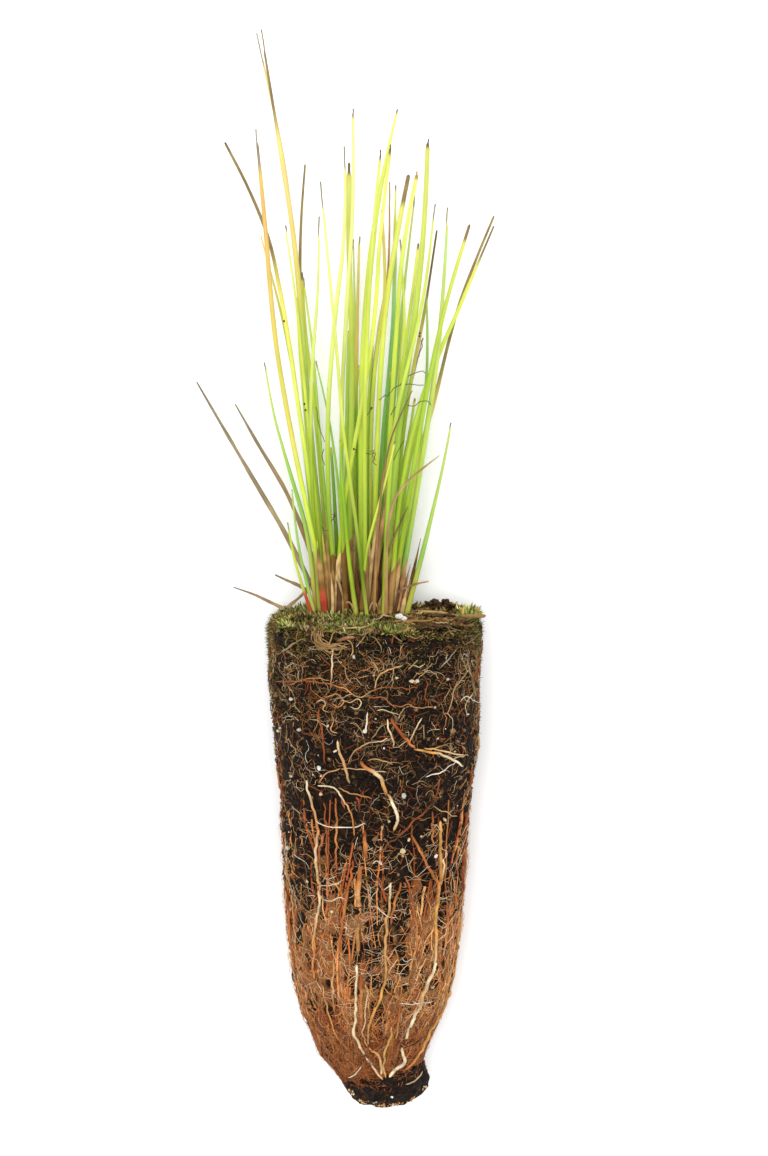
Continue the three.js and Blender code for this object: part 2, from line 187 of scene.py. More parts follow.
@dataclass(frozen=True)
class PlantPlace:
    """Where the plant's own frame stands in the row frame."""

    tilt: float = 0.0658049
    lift: float = 26.606
    right: float = 8.0097
    back: float = -9.4709

    def turn(self) -> Array:
        """The turn from the plant's frame to the row frame."""
        c, s = math.cos(self.tilt), math.sin(self.tilt)
        return np.array([[1, 0, 0], [0, c, -s], [0, s, c]])

    def to_row(self, points: Array) -> Array:
        """Millimetres of the plant's frame to metres of the row frame."""
        moved = points @ self.turn().T + np.array([self.right, self.back, self.lift])
        return moved / 1000

    def to_plant(self, points: Array) -> Array:
        """Metres of the row frame to millimetres of the plant's frame."""
        moved = points * 1000 - np.array([self.right, self.back, self.lift])
        return moved @ self.turn()


PLACE = PlantPlace()


def node_points(name: str) -> tuple[Array, list[tuple[int, ...]]]:
    """Reads a CAD node with its doubles merged.

    Args:
        name: the node.

    Returns:
        Its corners in the plant's frame, and its faces.
    """
    bm = bmesh.new()
    bm.from_mesh(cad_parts[name].data)
    bmesh.ops.remove_doubles(bm, verts=bm.verts, dist=SAME_PLACE)
    bm.verts.ensure_lookup_table()
    points = PLACE.to_plant(np.array([v.co for v in bm.verts]))
    faces = [tuple(v.index for v in f.verts) for f in bm.faces]
    bm.free()
    return points, faces


def tree_of(*names: str) -> BVHTree:
    """A search tree over CAD nodes in the plant's frame."""
    points, faces = [], []
    for name in names:
        some, their_faces = node_points(name)
        shift = len(points)
        points += [tuple(p) for p in some]
        faces += [tuple(i + shift for i in f) for f in their_faces]
    return BVHTree.FromPolygons(points, faces)


@dataclass
class SightLines:
    """The lines of sight of the picture, in the plant's frame."""

    width: float = 768
    height: float = 1156
    step: float = 0.254
    distance: float = 1200
    pitch: float = math.radians(8)
    aim: tuple[float, float, float] = (2.0, 8.6, 0.0)
    tries: int = 60
    pull: float = 0.004
    tree: BVHTree | None = None

    def up(self) -> Array:
        """The picture's up direction."""
        return np.array([0, math.cos(self.pitch), -math.sin(self.pitch)])

    def back(self) -> Array:
        """The direction from the plant to the camera."""
        return np.array([0, math.sin(self.pitch), math.cos(self.pitch)])

    def eye(self) -> Array:
        """Where the camera stands."""
        return np.array(self.aim) + self.distance * self.back()

    def ray(self, across: float, down: float) -> Array:
        """The direction from the camera through a picture point.

        Args:
            across: picture point from the left.
            down: picture point from the top.

        Returns:
            The way from the camera to the point on the picture's plane.
        """
        on_plane = np.array(self.aim, float)
        on_plane[0] += (across - self.width / 2) * self.step
        on_plane += (self.height / 2 - down) * self.step * self.up()
        return on_plane - self.eye()

    def lay(self, across: float, down: float) -> Array:
        """Finds the place on the solids that a picture point shows.

        Args:
            across: picture point from the left.
            down: picture point from the top.

        Returns:
            The place on the surface. A point just beside the solids gives their edge.
        """
        middle = self.width / 2
        for number in range(self.tries):
            x = middle + (across - middle) * (1 - self.pull * number)
            way = Vector(self.ray(x, down)).normalized()
            place, _, _, _ = self.tree.ray_cast(Vector(self.eye()), way)
            if place is not None:
                return np.array(place)
        raise ValueError(f"no surface at {across}, {down}")

    def hang(self, across: float, down: float, depth: float) -> Array:
        """The place that a picture point shows at a given z in the plant's frame."""
        ray = self.ray(across, down)
        return self.eye() + ray * (depth - self.eye()[2]) / ray[2]

    def stations(self, points: Array, pitch: float) -> Array:
        """Even picture points on a smooth line through others, some millimetres apart."""
        long = np.linalg.norm(np.diff(points, axis=0), axis=1).sum() * self.step
        return through(points, max(6, int(long / pitch)))

    def route(self, points: Array, lift: float, pitch: float) -> Array:
        """Lays a line of picture points on the solids.

        Args:
            points: picture points along the line.
            lift: how far it stands above the surface.
            pitch: distance from station to station.

        Returns:
            The line's stations in the plant's frame.
        """
        laid = np.array([self.lay(*p) for p in self.stations(points, pitch)])
        for _ in range(3):
            laid[1:-1] = (laid[:-2] + 2 * laid[1:-1] + laid[2:]) / 4
        return laid + lift * self.back()


SIGHT = SightLines()


def hung_line(points: Array, low: float, high: float, pitch: float = 0.6) -> Array:
    """A smooth line in space through picture points, from one depth to another.

    Args:
        points: picture points along the line.
        low: z in the plant's frame at its first point.
        high: z at its last point.
        pitch: distance from station to station.

    Returns:
        The line's stations in the plant's frame.
    """
    stations = SIGHT.stations(points, pitch)
    depths = np.linspace(low, high, len(stations))
    return np.array([SIGHT.hang(*p, depth) for p, depth in zip(stations, depths)])


def lattice(cell: Array, seed: int) -> Array:
    """Draws a fixed number for each whole cell.

    Args:
        cell: whole numbers along x, y and z, in the last axis.
        seed: picks the pattern.

    Returns:
        Numbers from 0 to 1.
    """
    mixed = cell @ CELL_FACTORS + seed * SEED_FACTOR
    mixed = (mixed ^ (mixed >> 13)) * SCRAMBLER
    return ((mixed ^ (mixed >> 16)) & LOW_BITS) / LOW_BITS


def lumps(points: Array, size: float | tuple[float, float, float], seed: int) -> Array:
    """Smooth noise over places.

    Args:
        points: the places, in rows.
        size: how large a lump is, the same or different along x, y and z.
        seed: picks the pattern.

    Returns:
        A number from 0 to 1 for each place.
    """
    scaled = points / np.array(size)
    cell = np.floor(scaled).astype(np.int64)
    part = scaled - cell
    part = part * part * (3 - 2 * part)
    value = np.zeros(len(points))
    for corner in np.ndindex(2, 2, 2):
        pick = np.array(corner)
        weight = np.prod(np.where(pick == 1, part, 1 - part), axis=1)
        value += weight * lattice(cell + pick, seed)
    return value


def smoothstep(low: float, high: float, value: Array | float) -> Array:
    """An even rise from 0 at low to 1 at high, or a fall where high is the smaller."""
    t = np.clip((np.asarray(value, float) - low) / (high - low), 0, 1)
    return t * t * (3 - 2 * t)


def run_along(line: Array) -> Array:
    """How far along a line each of its stations is."""
    return np.concatenate([[0], np.cumsum(np.linalg.norm(np.diff(line, axis=0), axis=1))])


def read_off(at: Array, known: Array, rows: Array) -> Array:
    """Rows that are known at some places, read off at others."""
    return np.stack([np.interp(at, known, column) for column in rows.T], axis=1)


def blend(t: Array, names: str) -> Array:
    """Colours at shares from 0 to 1 of a line that passes evenly through the named tints."""
    stops = palette(names)
    return read_off(t, np.linspace(0, 1, len(stops)), stops)


def lumps_along(gone: Array, size: float, seed: int) -> Array:
    """Smooth noise along a line, a number from 0 to 1 for each distance."""
    return lumps(np.c_[gone, 0 * gone, 0 * gone], size, seed)


def round_axis(angle: Array, reach: Array | float, y: Array | float) -> Array:
    """Places at angles around the plant's axis, some way out from it."""
    return np.stack(np.broadcast_arrays(reach * np.cos(angle), y, reach * np.sin(angle)), axis=-1)


def through(points: Array, count: int) -> Array:
    """A smooth curve through points.

    Args:
        points: the points in rows.
        count: how many even steps the curve is given in.

    Returns:
        The curve's stations in rows.
    """
    points = np.asarray(points, float)
    padded = np.vstack([2 * points[0] - points[1], points, 2 * points[-1] - points[-2]])
    fine = []
    for i in range(len(points) - 1):
        a, b, c, d = padded[i : i + 4]
        t = np.linspace(0, 1, CURVE_STEPS, endpoint=False)[:, None]
        bend, twist = 2 * a - 5 * b + 4 * c - d, 3 * b - a - 3 * c + d
        fine.append(0.5 * (2 * b + (c - a) * t + bend * t**2 + twist * t**3))
    fine = np.vstack([*fine, points[-1:]])
    gone = run_along(fine)
    return read_off(np.linspace(0, gone[-1], count), gone, fine)


def unit(vectors: Array) -> Array:
    """Vectors in rows, each made one long."""
    return vectors / np.maximum(np.linalg.norm(vectors, axis=-1, keepdims=True), 1e-9)


def cross_frames(lines: Array, outward: Array) -> tuple[Array, Array]:
    """Sideways and upward directions along lines.

    Args:
        lines: stations, in the last two axes.
        outward: roughly which way is up at each station.

    Returns:
        The sideways and the upward directions at each station.
    """
    along = unit(np.gradient(lines, axis=-2))
    side = unit(np.cross(along, outward))
    return side, np.cross(side, along)


def stand(name: str, data: bpy.types.ID) -> bpy.types.Object:
    """Puts a mesh, a lamp or a camera into the scene as an object.

    Args:
        name: the object's name.
        data: what it holds.

    Returns:
        The object.
    """
    holder = bpy.data.objects.new(name, data)
    bpy.context.scene.collection.objects.link(holder)
    return holder


def add_piece(name: str, mesh: Mesh, material: Material, stands_for: tuple[str, ...] = ()) -> None:
    """Puts a finished mesh into the scene as a piece of the plant.

    Args:
        name: the piece's name.
        mesh: its mesh, in metres of the row frame.
        material: that it wears.
        stands_for: the CAD nodes that it replaces.
    """
    mesh.name = name
    piece = stand(name, mesh)
    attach(piece, "root")
    if stands_for:
        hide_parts(*stands_for)
    mesh.materials.append(material)
    log.info("%s: %d triangles", name, sum(len(p.vertices) - 2 for p in mesh.polygons))


def tint_corners(mesh: Mesh, tints: Array) -> None:
    """Gives the corners of a mesh their colours."""
    layer = mesh.attributes.new("tint", "FLOAT_COLOR", "POINT")
    layer.data.foreach_set("color", np.c_[tints, np.ones(len(tints))].ravel())


def keep_on_floor(points: Array, room: Array | float) -> Array:
    """Presses places in the row frame up to the surface that the plant lies on."""
    points[..., 2] = np.maximum(points[..., 2], room)
    return points


@dataclass
class Joined:
    """One mesh made of many small parts of a few faces each, gathered from arrays."""

    points: list[Array] = field(default_factory=list)
    faces: list[Array] = field(default_factory=list)
    tints: list[Array] = field(default_factory=list)
    count: int = 0

    def add(self, points: Array, faces: Array, tints: Array) -> None:
        """Adds copies of one part.

        Args:
            points: corners of each copy, copies by corners by 3, in the plant's frame.
            faces: the part's triangles as rows of corner numbers.
            tints: colour of each corner, in the same form as the points.
        """
        copies, corners = points.shape[:2]
        shifts = self.count + corners * np.arange(copies)
        self.faces.append((faces[None] + shifts[:, None, None]).reshape(-1, 3))
        self.points.append(points.reshape(-1, 3))
        self.tints.append(np.broadcast_to(tints, points.shape).reshape(-1, 3))
        self.count += copies * corners

    def strands(self, lines: Array, radii: Array, outward: Array, tints: Array, sides: int,
                flat: float = 1.0) -> None:
        """Adds thin strands with pointed ends.

        Args:
            lines: stations of each strand, strands by stations by 3.
            radii: radius at each station.
            outward: up direction at each station.
            tints: colour at each station.
            sides: how many sides a strand has.
            flat: its height as a share of its width.
        """
        strands, stations = lines.shape[:2]
        side, up = cross_frames(lines, outward)
        turns = TURN * np.arange(sides) / sides
        rings = [
            lines + radii[..., None] * (math.cos(a) * side + flat * math.sin(a) * up) for a in turns
        ]
        body = np.stack(rings, axis=2).reshape(strands, stations * sides, 3)
        along = unit(np.diff(lines[:, [0, 1, -2, -1]], axis=1))
        head = lines[:, 0] - along[:, 0] * radii[:, :1]
        tail = lines[:, -1] + along[:, 2] * radii[:, -1:]
        points = np.concatenate([body, head[:, None], tail[:, None]], axis=1)
        body_tints = np.repeat(tints, sides, axis=1)
        whole = np.concatenate([body_tints, tints[:, :1], tints[:, -1:]], axis=1)
        self.add(points, strand_faces(stations, sides), whole)

    def spikes(self, feet: Array, tips: Array, wide: Array, tints: Array) -> None:
        """Adds fine three-sided hairs that end in a point.

        Args:
            feet: where each hair stands.
            tips: where it ends.
            wide: radius of its foot.
            tints: its colour.
        """
        along = unit(tips - feet)
        side = unit(np.cross(along, ASKEW))
        up = np.cross(side, along)
        corners = [
            feet + wide[:, None] * (math.cos(a) * side + math.sin(a) * up) for a in THIRDS_OF_TURN
        ]
        faces = np.array([(0, 2, 1), (0, 1, 3), (1, 2, 3), (2, 0, 3)])
        # Painted shade on the foot corners of each hair and a painted highlight at its tip.
        shade = np.array([0.5, 0.5, 0.5, 1.2])
        self.add(np.stack([*corners, tips], axis=1), faces, tints[:, None] * shade[None, :, None])

    def finish(self, name: str, slot: str, material: Material) -> None:
        """Makes the piece.

        Args:
            name: the piece's name.
            slot: the record's material slot; not used.
            material: that it wears.
        """
        points = np.concatenate(self.points)
        faces = np.concatenate(self.faces)
        mesh = bpy.data.meshes.new(name)
        mesh.vertices.add(len(points))
        mesh.vertices.foreach_set("co", keep_on_floor(PLACE.to_row(points), FLOOR_ROOM).ravel())
        mesh.loops.add(faces.size)
        mesh.loops.foreach_set("vertex_index", faces.ravel().astype(np.int32))
        mesh.polygons.add(len(faces))
        mesh.polygons.foreach_set("loop_start", np.arange(0, faces.size, 3, dtype=np.int32))
        mesh.update(calc_edges=True)
        mesh.shade_smooth()
        tint_corners(mesh, np.concatenate(self.tints))
        add_piece(name, mesh, material)


def strand_faces(stations: int, sides: int) -> Array:
    """Joins up one strand, whose two end corners follow its rings.

    Args:
        stations: how many rings it has.
        sides: how many corners a ring has.

    Returns:
        Its triangles as rows of corner numbers.
    """
    faces = []
    for r in range(stations - 1):
        for s in range(sides):
            a, b = r * sides + s, r * sides + (s + 1) % sides
            faces += [(a, b, b + sides), (a, b + sides, a + sides)]
    head, tail = stations * sides, stations * sides + 1
    top = (stations - 1) * sides
    for s in range(sides):
        after = (s + 1) % sides
        faces += [(head, after, s), (tail, top + s, top + after)]
    return np.array(faces)


@dataclass
class Sweep:
    """A section swept along a line: round, oval or a curled open strip."""

    line: Array
    width: Array
    thick: Array
    tints: Array
    outward: tuple[float, float, float] | Array = (0.0, 0.0, 1.0)
    sides: int = 12
    twist: float = 0.0
    seed: int = 0
    ridges: float = 0.0
    slant: float = 0.0
    seed_shift: float = 37.0

    def onto(self, bm: BMesh) -> None:
        """Adds the sweep to a mesh, from a grid rolled up around the line.

        Args:
            bm: the mesh, in metres of the row frame, with its tint and straight layers.
        """
        stations = len(self.line)
        before = len(bm.verts)
        made = bmesh.ops.create_grid(bm, x_segments=self.sides, y_segments=stations - 1, size=1)["verts"]
        flat = np.array([v.co for v in made])
        turn = np.rint((flat[:, 0] + 1) / 2 * self.sides).astype(int)
        row = np.rint((flat[:, 1] + 1) / 2 * (stations - 1)).astype(int)
        out = np.broadcast_to(np.asarray(self.outward, float), self.line.shape)
        side, up = cross_frames(self.line, out)
        angle = TURN * turn / self.sides
        gone = run_along(self.line)
        share = gone / max(gone[-1], TINY)
        roll = self.twist * share
        c, s = np.cos(roll)[:, None], np.sin(roll)[:, None]
        side, up = c * side + s * up, c * up - s * side
        swell = 1 + self.ridges * np.cos(5 * angle + self.seed)
        x = np.cos(angle) * self.width[row] / 2 * swell
        y = np.sin(angle) * self.thick[row] / 2 * swell
        places = self.line[row] + x[:, None] * side[row] + y[:, None] * up[row]
        late = smoothstep(0.5, 1, share)[row]
        ahead = unit(np.gradient(self.line, axis=0))[row]
        places = places + ahead * (late * self.slant * np.cos(angle + self.seed))[:, None]
        places = keep_on_floor(PLACE.to_row(places), FLOOR_ROOM)
        straight = np.c_[x, y, gone[row] + self.seed_shift * self.seed]
        tint, unrolled = bm.verts.layers.float_color["tint"], bm.verts.layers.float_vector["straight"]
        for v, place, flat_place, colour in zip(made, places, straight, self.tints[row]):
            v.co = place
            v[unrolled] = flat_place
            v[tint] = (*colour, 1)
        bm.verts.ensure_lookup_table()
        bmesh.ops.remove_doubles(bm, verts=bm.verts[before:], dist=1e-7)


def new_bmesh() -> BMesh:
    """An empty mesh with the layers that the finishes read."""
    bm = bmesh.new()
    bm.verts.layers.float_color.new("tint")
    bm.verts.layers.float_vector.new("straight")
    return bm


def finish_bmesh(
    bm: BMesh, name: str, material: Material, stands_for: tuple[str, ...] = ()
) -> None:
    """Turns a finished bmesh into a piece.

    Args:
        bm: the mesh, in metres of the row frame.
        name: the piece's name.
        material: that it wears.
        stands_for: the CAD nodes that it replaces.
    """
    bmesh.ops.recalc_face_normals(bm, faces=bm.faces)
    mesh = bpy.data.meshes.new(name)
    bm.to_mesh(mesh)
    bm.free()
    mesh.shade_smooth()
    add_piece(name, mesh, material, stands_for)


@dataclass(frozen=True)
class Centreline:
    """The middle line and radius of a CAD tube, read back from its node."""

    line: Array
    radius: Array

    @staticmethod
    def of(name: str, sides: int = 5) -> "Centreline":
        """Reads a tube of the CAD.

        Args:
            name: the node.
            sides: how many sides its rings have.

        Returns:
            Its middle line from the foot, in the plant's frame.
        """
        points, _ = node_points(name)
        middle = points.mean(axis=0)
        axis = np.linalg.svd(points - middle)[2][0]
        points = points[np.argsort((points - middle) @ axis * np.sign(axis[1]))]
        caps = 1 if len(points) % sides == 2 else 0
        groups = [points[: sides + caps]]
        inner = points[sides + caps : len(points) - sides - caps]
        groups += np.split(inner, len(inner) // sides)
        groups.append(points[len(points) - sides - caps :])
        line = np.array([g.mean(axis=0) for g in groups])
        radius = [np.sort(np.linalg.norm(g - m, axis=1))[-sides:].mean() for g, m in zip(groups, line)]
        return Centreline(line, np.array(radius))

    def radius_at(self, t: Array) -> Array:
        """The radius at places from 0 to 1 along the line."""
        return np.interp(t, np.linspace(0, 1, len(self.radius)), self.radius)


class Wire:
    """A value in a shader, on which sums are written as Python expressions."""

    def __init__(self, shader: "Shader", socket: bpy.types.NodeSocket) -> None:
        """Keeps the shader and the socket that the value comes out of."""
        self.shader = shader
        self.socket = socket

    def _sum(self, operation: str, *values: "Wire | float") -> "Wire":
        """Adds one Math node."""
        node = self.shader.node("ShaderNodeMath", {"operation": operation}, dict(enumerate(values)))
        return Wire(self.shader, node.outputs[0])

    def __add__(self, other: "Wire | float") -> "Wire":
        """Sum."""
        return self._sum("ADD", self, other)

    __radd__ = __add__

    def __sub__(self, other: "Wire | float") -> "Wire":
        """Difference."""
        return self._sum("SUBTRACT", self, other)

    def __mul__(self, other: "Wire | float") -> "Wire":
        """Product."""
        return self._sum("MULTIPLY", self, other)

    def rise(self, low: float, high: float) -> "Wire":
        """An even rise from 0 to 1.

        Args:
            low: the value at which it starts.
            high: the value at which it ends.

        Returns:
            The rise.
        """
        node = self.shader.node(
            "ShaderNodeMapRange",
            {"interpolation_type": "SMOOTHSTEP"},
            {"Value": self, "From Min": low, "From Max": high},
        )
        return Wire(self.shader, node.outputs["Result"])


class Shader:
    """A material under construction."""

    def __init__(self, name: str, roughness: float, sheen: float = 0.12) -> None:
        """Starts a material.

        Args:
            name: the material's name.
            roughness: of its surface where nothing changes it.
            sheen: how strongly it mirrors.
        """
        self.material = bpy.data.materials.new(name)
        self.material.use_nodes = True
        self.tree = self.material.node_tree
        self.surface = self.tree.nodes["Principled BSDF"]
        self.surface.inputs["Roughness"].default_value = roughness
        self.surface.inputs["Specular IOR Level"].default_value = sheen

    def node(self, kind: str, settings: dict, sockets: dict) -> bpy.types.Node:
        """Adds a node.

        Args:
            kind: its type.
            settings: its own settings, put in first.
            sockets: values or wires by the input's name or number.

        Returns:
            The node.
        """
        made = self.tree.nodes.new(kind)
        for key, value in settings.items():
            setattr(made, key, value)
        for key, value in sockets.items():
            self.feed(made.inputs[key], value)
        return made

    def feed(self, socket: bpy.types.NodeSocket, value: object) -> None:
        """Links a wire to an input, or sets the input to a value.

        Args:
            socket: the input.
            value: a wire, a number, a vector or a colour.
        """
        if isinstance(value, Wire):
            self.tree.links.new(value.socket, socket)
        elif isinstance(value, Array) and len(value) == 3 and socket.type == "RGBA":
            socket.default_value = (*value, 1)
        else:
            socket.default_value = value

    def attribute(self, name: str, output: str) -> Wire:
        """An attribute of the piece's own mesh."""
        made = self.node("ShaderNodeAttribute", {"attribute_type": "GEOMETRY", "attribute_name": name}, {})
        return Wire(self, made.outputs[output])

    def squeezed(self, vector: Wire, stretch: tuple[float, float, float]) -> Wire:
        """A vector squeezed along each axis."""
        mapped = self.node("ShaderNodeMapping", {}, {"Vector": vector, "Scale": stretch})
        return Wire(self, mapped.outputs["Vector"])

    def place(self, stretch: tuple[float, float, float] = (1, 1, 1)) -> Wire:
        """Object coordinates in millimetres, squeezed along each axis."""
        at = self.node("ShaderNodeTexCoord", {}, {})
        return self.squeezed(Wire(self, at.outputs["Object"]), tuple(1000 * s for s in stretch))

    def noise(self, vector: Wire, scale: float, detail: float = 3.0, roughness: float = 0.55) -> Wire:
        """Noise from 0 to 1.

        Args:
            vector: the places at which it is read.
            scale: how fine it is.
            detail: how many finer layers it has.
            roughness: how strong those are.

        Returns:
            The noise.
        """
        sockets = {"Vector": vector, "Scale": scale, "Detail": detail, "Roughness": roughness}
        made = self.node("ShaderNodeTexNoise", {"noise_dimensions": "3D"}, sockets)
        return Wire(self, made.outputs["Fac"])

    def streaks(self, across: float, along: float, detail: float) -> Wire:
        """Noise drawn out along the line on which the piece was swept."""
        straight = self.attribute("straight", "Vector")
        return self.noise(self.squeezed(straight, (across, across, along)), 1.0, detail)

    def cells(self, vector: Wire, scale: float) -> Wire:
        """Distance from the middles of scattered cells."""
        made = self.node("ShaderNodeTexVoronoi", {"feature": "F1"}, {"Vector": vector, "Scale": scale})
        return Wire(self, made.outputs["Distance"])

    def mix(self, factor: Wire | float, first: object, second: object) -> Wire:
        """A colour between two colours.

        Args:
            factor: from 0 for the first to 1 for the second.
            first: a colour or a wire.
            second: a colour or a wire.

        Returns:
            The colour.
        """
        made = self.node("ShaderNodeMix", {"data_type": "RGBA"}, {})
        self.feed(made.inputs["Factor"], factor)
        self.feed(made.inputs[6], first)
        self.feed(made.inputs[7], second)
        return Wire(self, made.outputs[2])

    def brighter(self, colour: Wire, factor: Wire) -> Wire:
        """A colour made lighter or darker by a number."""
        made = self.node("ShaderNodeVectorMath", {"operation": "SCALE"}, {0: colour, "Scale": factor})
        return Wire(self, made.outputs[0])

    def tinted(self, tone: Wire) -> Wire:
        """The mesh's own colours, made lighter or darker."""
        return self.brighter(self.attribute("tint", "Color"), tone)

    def paint(self, colour: Wire, roughness: Wire | None, height: Wire | None, depth: float) -> Material:
        """Finishes the material.

        Args:
            colour: of the surface.
            roughness: where it varies.
            height: of the relief, from 0 to 1.
            depth: of the relief in millimetres.

        Returns:
            The material.
        """
        self.feed(self.surface.inputs["Base Color"], colour)
        if roughness is not None:
            self.feed(self.surface.inputs["Roughness"], roughness)
        if height is not None:
            bump = self.node("ShaderNodeBump", {}, {"Height": height, "Distance": depth / 1000})
            bump.inputs["Strength"].default_value = 1.0
            self.feed(self.surface.inputs["Normal"], Wire(self, bump.outputs["Normal"]))
        return self.material


@dataclass(frozen=True)
class StemFinish:
    """Smooth green skin with fine stripes along the stem and small dry specks."""

    name: str
    roughness: float = 0.45
    sheen: float = 0.16

    def build(self) -> Material:
        """Makes the material."""
        shader = Shader(self.name, self.roughness, self.sheen)
        lines = shader.streaks(6.0, 0.12, 2.0)
        clouds = shader.streaks(0.6, 0.16, 3.0)
        specks = shader.streaks(1.6, 0.7, 2.0).rise(0.7, 0.76)
        colour = shader.tinted(1 + (lines - 0.5) * 0.32 + (clouds - 0.5) * 0.3)
        colour = shader.mix(specks * 0.45, colour, Tint.SHEATH.rgb)
        return shader.paint(colour, None, lines, 0.06)


@dataclass(frozen=True)
class DryFinish:
    """Dry papery skin with long fibres, blotches and dark specks."""

    name: str
    roughness: float = 0.8

    def build(self) -> Material:
        """Makes the material."""
        shader = Shader(self.name, self.roughness)
        fibres = shader.streaks(7.0, 0.18, 3.0)
        blotches = shader.streaks(0.9, 0.35, 3.0)
        specks = shader.streaks(3.0, 1.4, 2.0).rise(0.66, 0.74)
        colour = shader.tinted(1 + (fibres - 0.5) * 0.9 + (blotches - 0.5) * 0.7)
        colour = shader.mix(specks * 0.6, colour, Tint.BARK.rgb)
        return shader.paint(colour, None, fibres, 0.15)


@dataclass(frozen=True)
class MattFinish:
    """Matt skin of roots, crumbs and moss leaves, uneven in colour and finely wrinkled."""

    name: str
    roughness: float = 0.6
    cloud_scale: float = 0.35
    cloud_share: float = 0.7
    grain_scale: float = 2.6
    grain_detail: float = 3.0
    relief: float = 0.12

    def build(self) -> Material:
        """Makes the material."""
        shader = Shader(self.name, self.roughness)
        place = shader.place()
        clouds = shader.noise(place, self.cloud_scale, 3.0)
        grain = shader.noise(place, self.grain_scale, self.grain_detail)
        colour = shader.tinted(1 + (clouds - 0.5) * self.cloud_share + (grain - 0.5) * 0.5)
        return shader.paint(colour, None, grain, self.relief)


@dataclass(frozen=True)
class SoilFinish:
    """Dark potting soil with peat fibres and crumbs, browner where roots have grown through it."""

    name: str
    roughness: float = 0.9

    def build(self) -> Material:
        """Makes the material."""
        shader = Shader(self.name, self.roughness)
        place = shader.place()
        crumbs = shader.noise(place, 0.9, 5.0, 0.65)
        grit = shader.noise(place, 3.2, 3.0, 0.6)
        fibres = shader.noise(shader.place((1.2, 0.35, 1.2)), 2.2, 4.0, 0.7)
        colour = shader.mix(crumbs.rise(0.42, 0.72), Tint.SOIL.rgb * 0.35, Tint.PEAT.rgb * 0.7)
        colour = shader.mix(fibres.rise(0.6, 0.7) * 0.5, colour, Tint.RUST.rgb * 0.3)
        colour = shader.mix(grit.rise(0.66, 0.72) * 0.4, colour, Tint.TAN.rgb * 0.35)
        colour = shader.mix(shader.attribute("cover", "Fac"), colour, shader.tinted(0.35 + fibres * 1.1))
        return shader.paint(colour, 0.75 + grit * 0.2, crumbs * 0.6 + grit * 0.4, 0.5)


@dataclass(frozen=True)
class GrainFinish:
    """Pitted off-white mineral grains."""

    name: str
    roughness: float = 0.85

    def build(self) -> Material:
        """Makes the material."""
        shader = Shader(self.name, self.roughness)
        place = shader.place()
        pits = shader.cells(place, 2.4)
        clouds = shader.noise(place, 0.9, 4.0)
        colour = shader.tinted(0.72 + pits * 0.3 + (clouds - 0.5) * 0.5)
        return shader.paint(colour, None, pits, 0.3)


@dataclass
class BallSkin:
    """How far the side of the root ball is from the plant's axis, all around and along it."""

    turns: int = 240
    rows: int = 190
    top: float = -0.7
    bottom: float = -128.5
    start: float = 60
    table: Array | None = None

    def measure(self) -> None:
        """Probes the CAD solids from the axis outwards."""
        tree = tree_of("root_ball", "soil_crumb", "moss_mat")
        table = np.full((self.turns, self.rows), np.nan)
        for j in range(self.rows):
            y = self.top + (self.bottom - self.top) * j / (self.rows - 1)
            for i in range(self.turns):
                angle = TURN * i / self.turns
                way = Vector((math.cos(angle), 0, math.sin(angle)))
                place, _, _, _ = tree.ray_cast(Vector((0, y, 0)) + way * self.start, -way, self.start - 1)
                if place is not None:
                    table[i, j] = math.hypot(place.x, place.z)
        for j in range(self.rows):
            column = table[:, j]
            gone = np.isnan(column)
            if gone.all():
                table[:, j] = table[:, j - 1] * 0.9
            elif gone.any():
                column[gone] = np.nanmin(column)
        self.table = table

    def radius(self, angle: Array, y: Array) -> Array:
        """How far the side is from the axis.

        Args:
            angle: around the ball.
            y: along the plant.

        Returns:
            The distance at each place.
        """
        i = np.mod(angle, TURN) / TURN * self.turns
        j = np.clip((y - self.top) / (self.bottom - self.top) * (self.rows - 1), 0, self.rows - 1.001)
        i0, j0 = np.floor(i).astype(int), np.floor(j).astype(int)
        fi, fj = i - i0, j - j0
        i0, i1 = i0 % self.turns, (i0 + 1) % self.turns
        t = self.table
        near = t[i0, j0] * (1 - fi) + t[i1, j0] * fi
        far = t[i0, j0 + 1] * (1 - fi) + t[i1, j0 + 1] * fi
        return near * (1 - fj) + far * fj

    def point(self, angle: Array, y: Array, depth: Array | float) -> Array:
        """A place some way under the side of the ball."""
        return round_axis(angle, self.radius(angle, y) - depth, y)


def tip_cut(x: Array) -> Array:
    """Where along the plant the root mat ends and the bare crumb begins."""
    return -120.6 + 0.21 * x


def end_share(y: Array) -> Array:
    """How far towards the rusty narrow end of the ball a place is, from 0 to 1."""
    return smoothstep(-92, -112, y)[:, None]


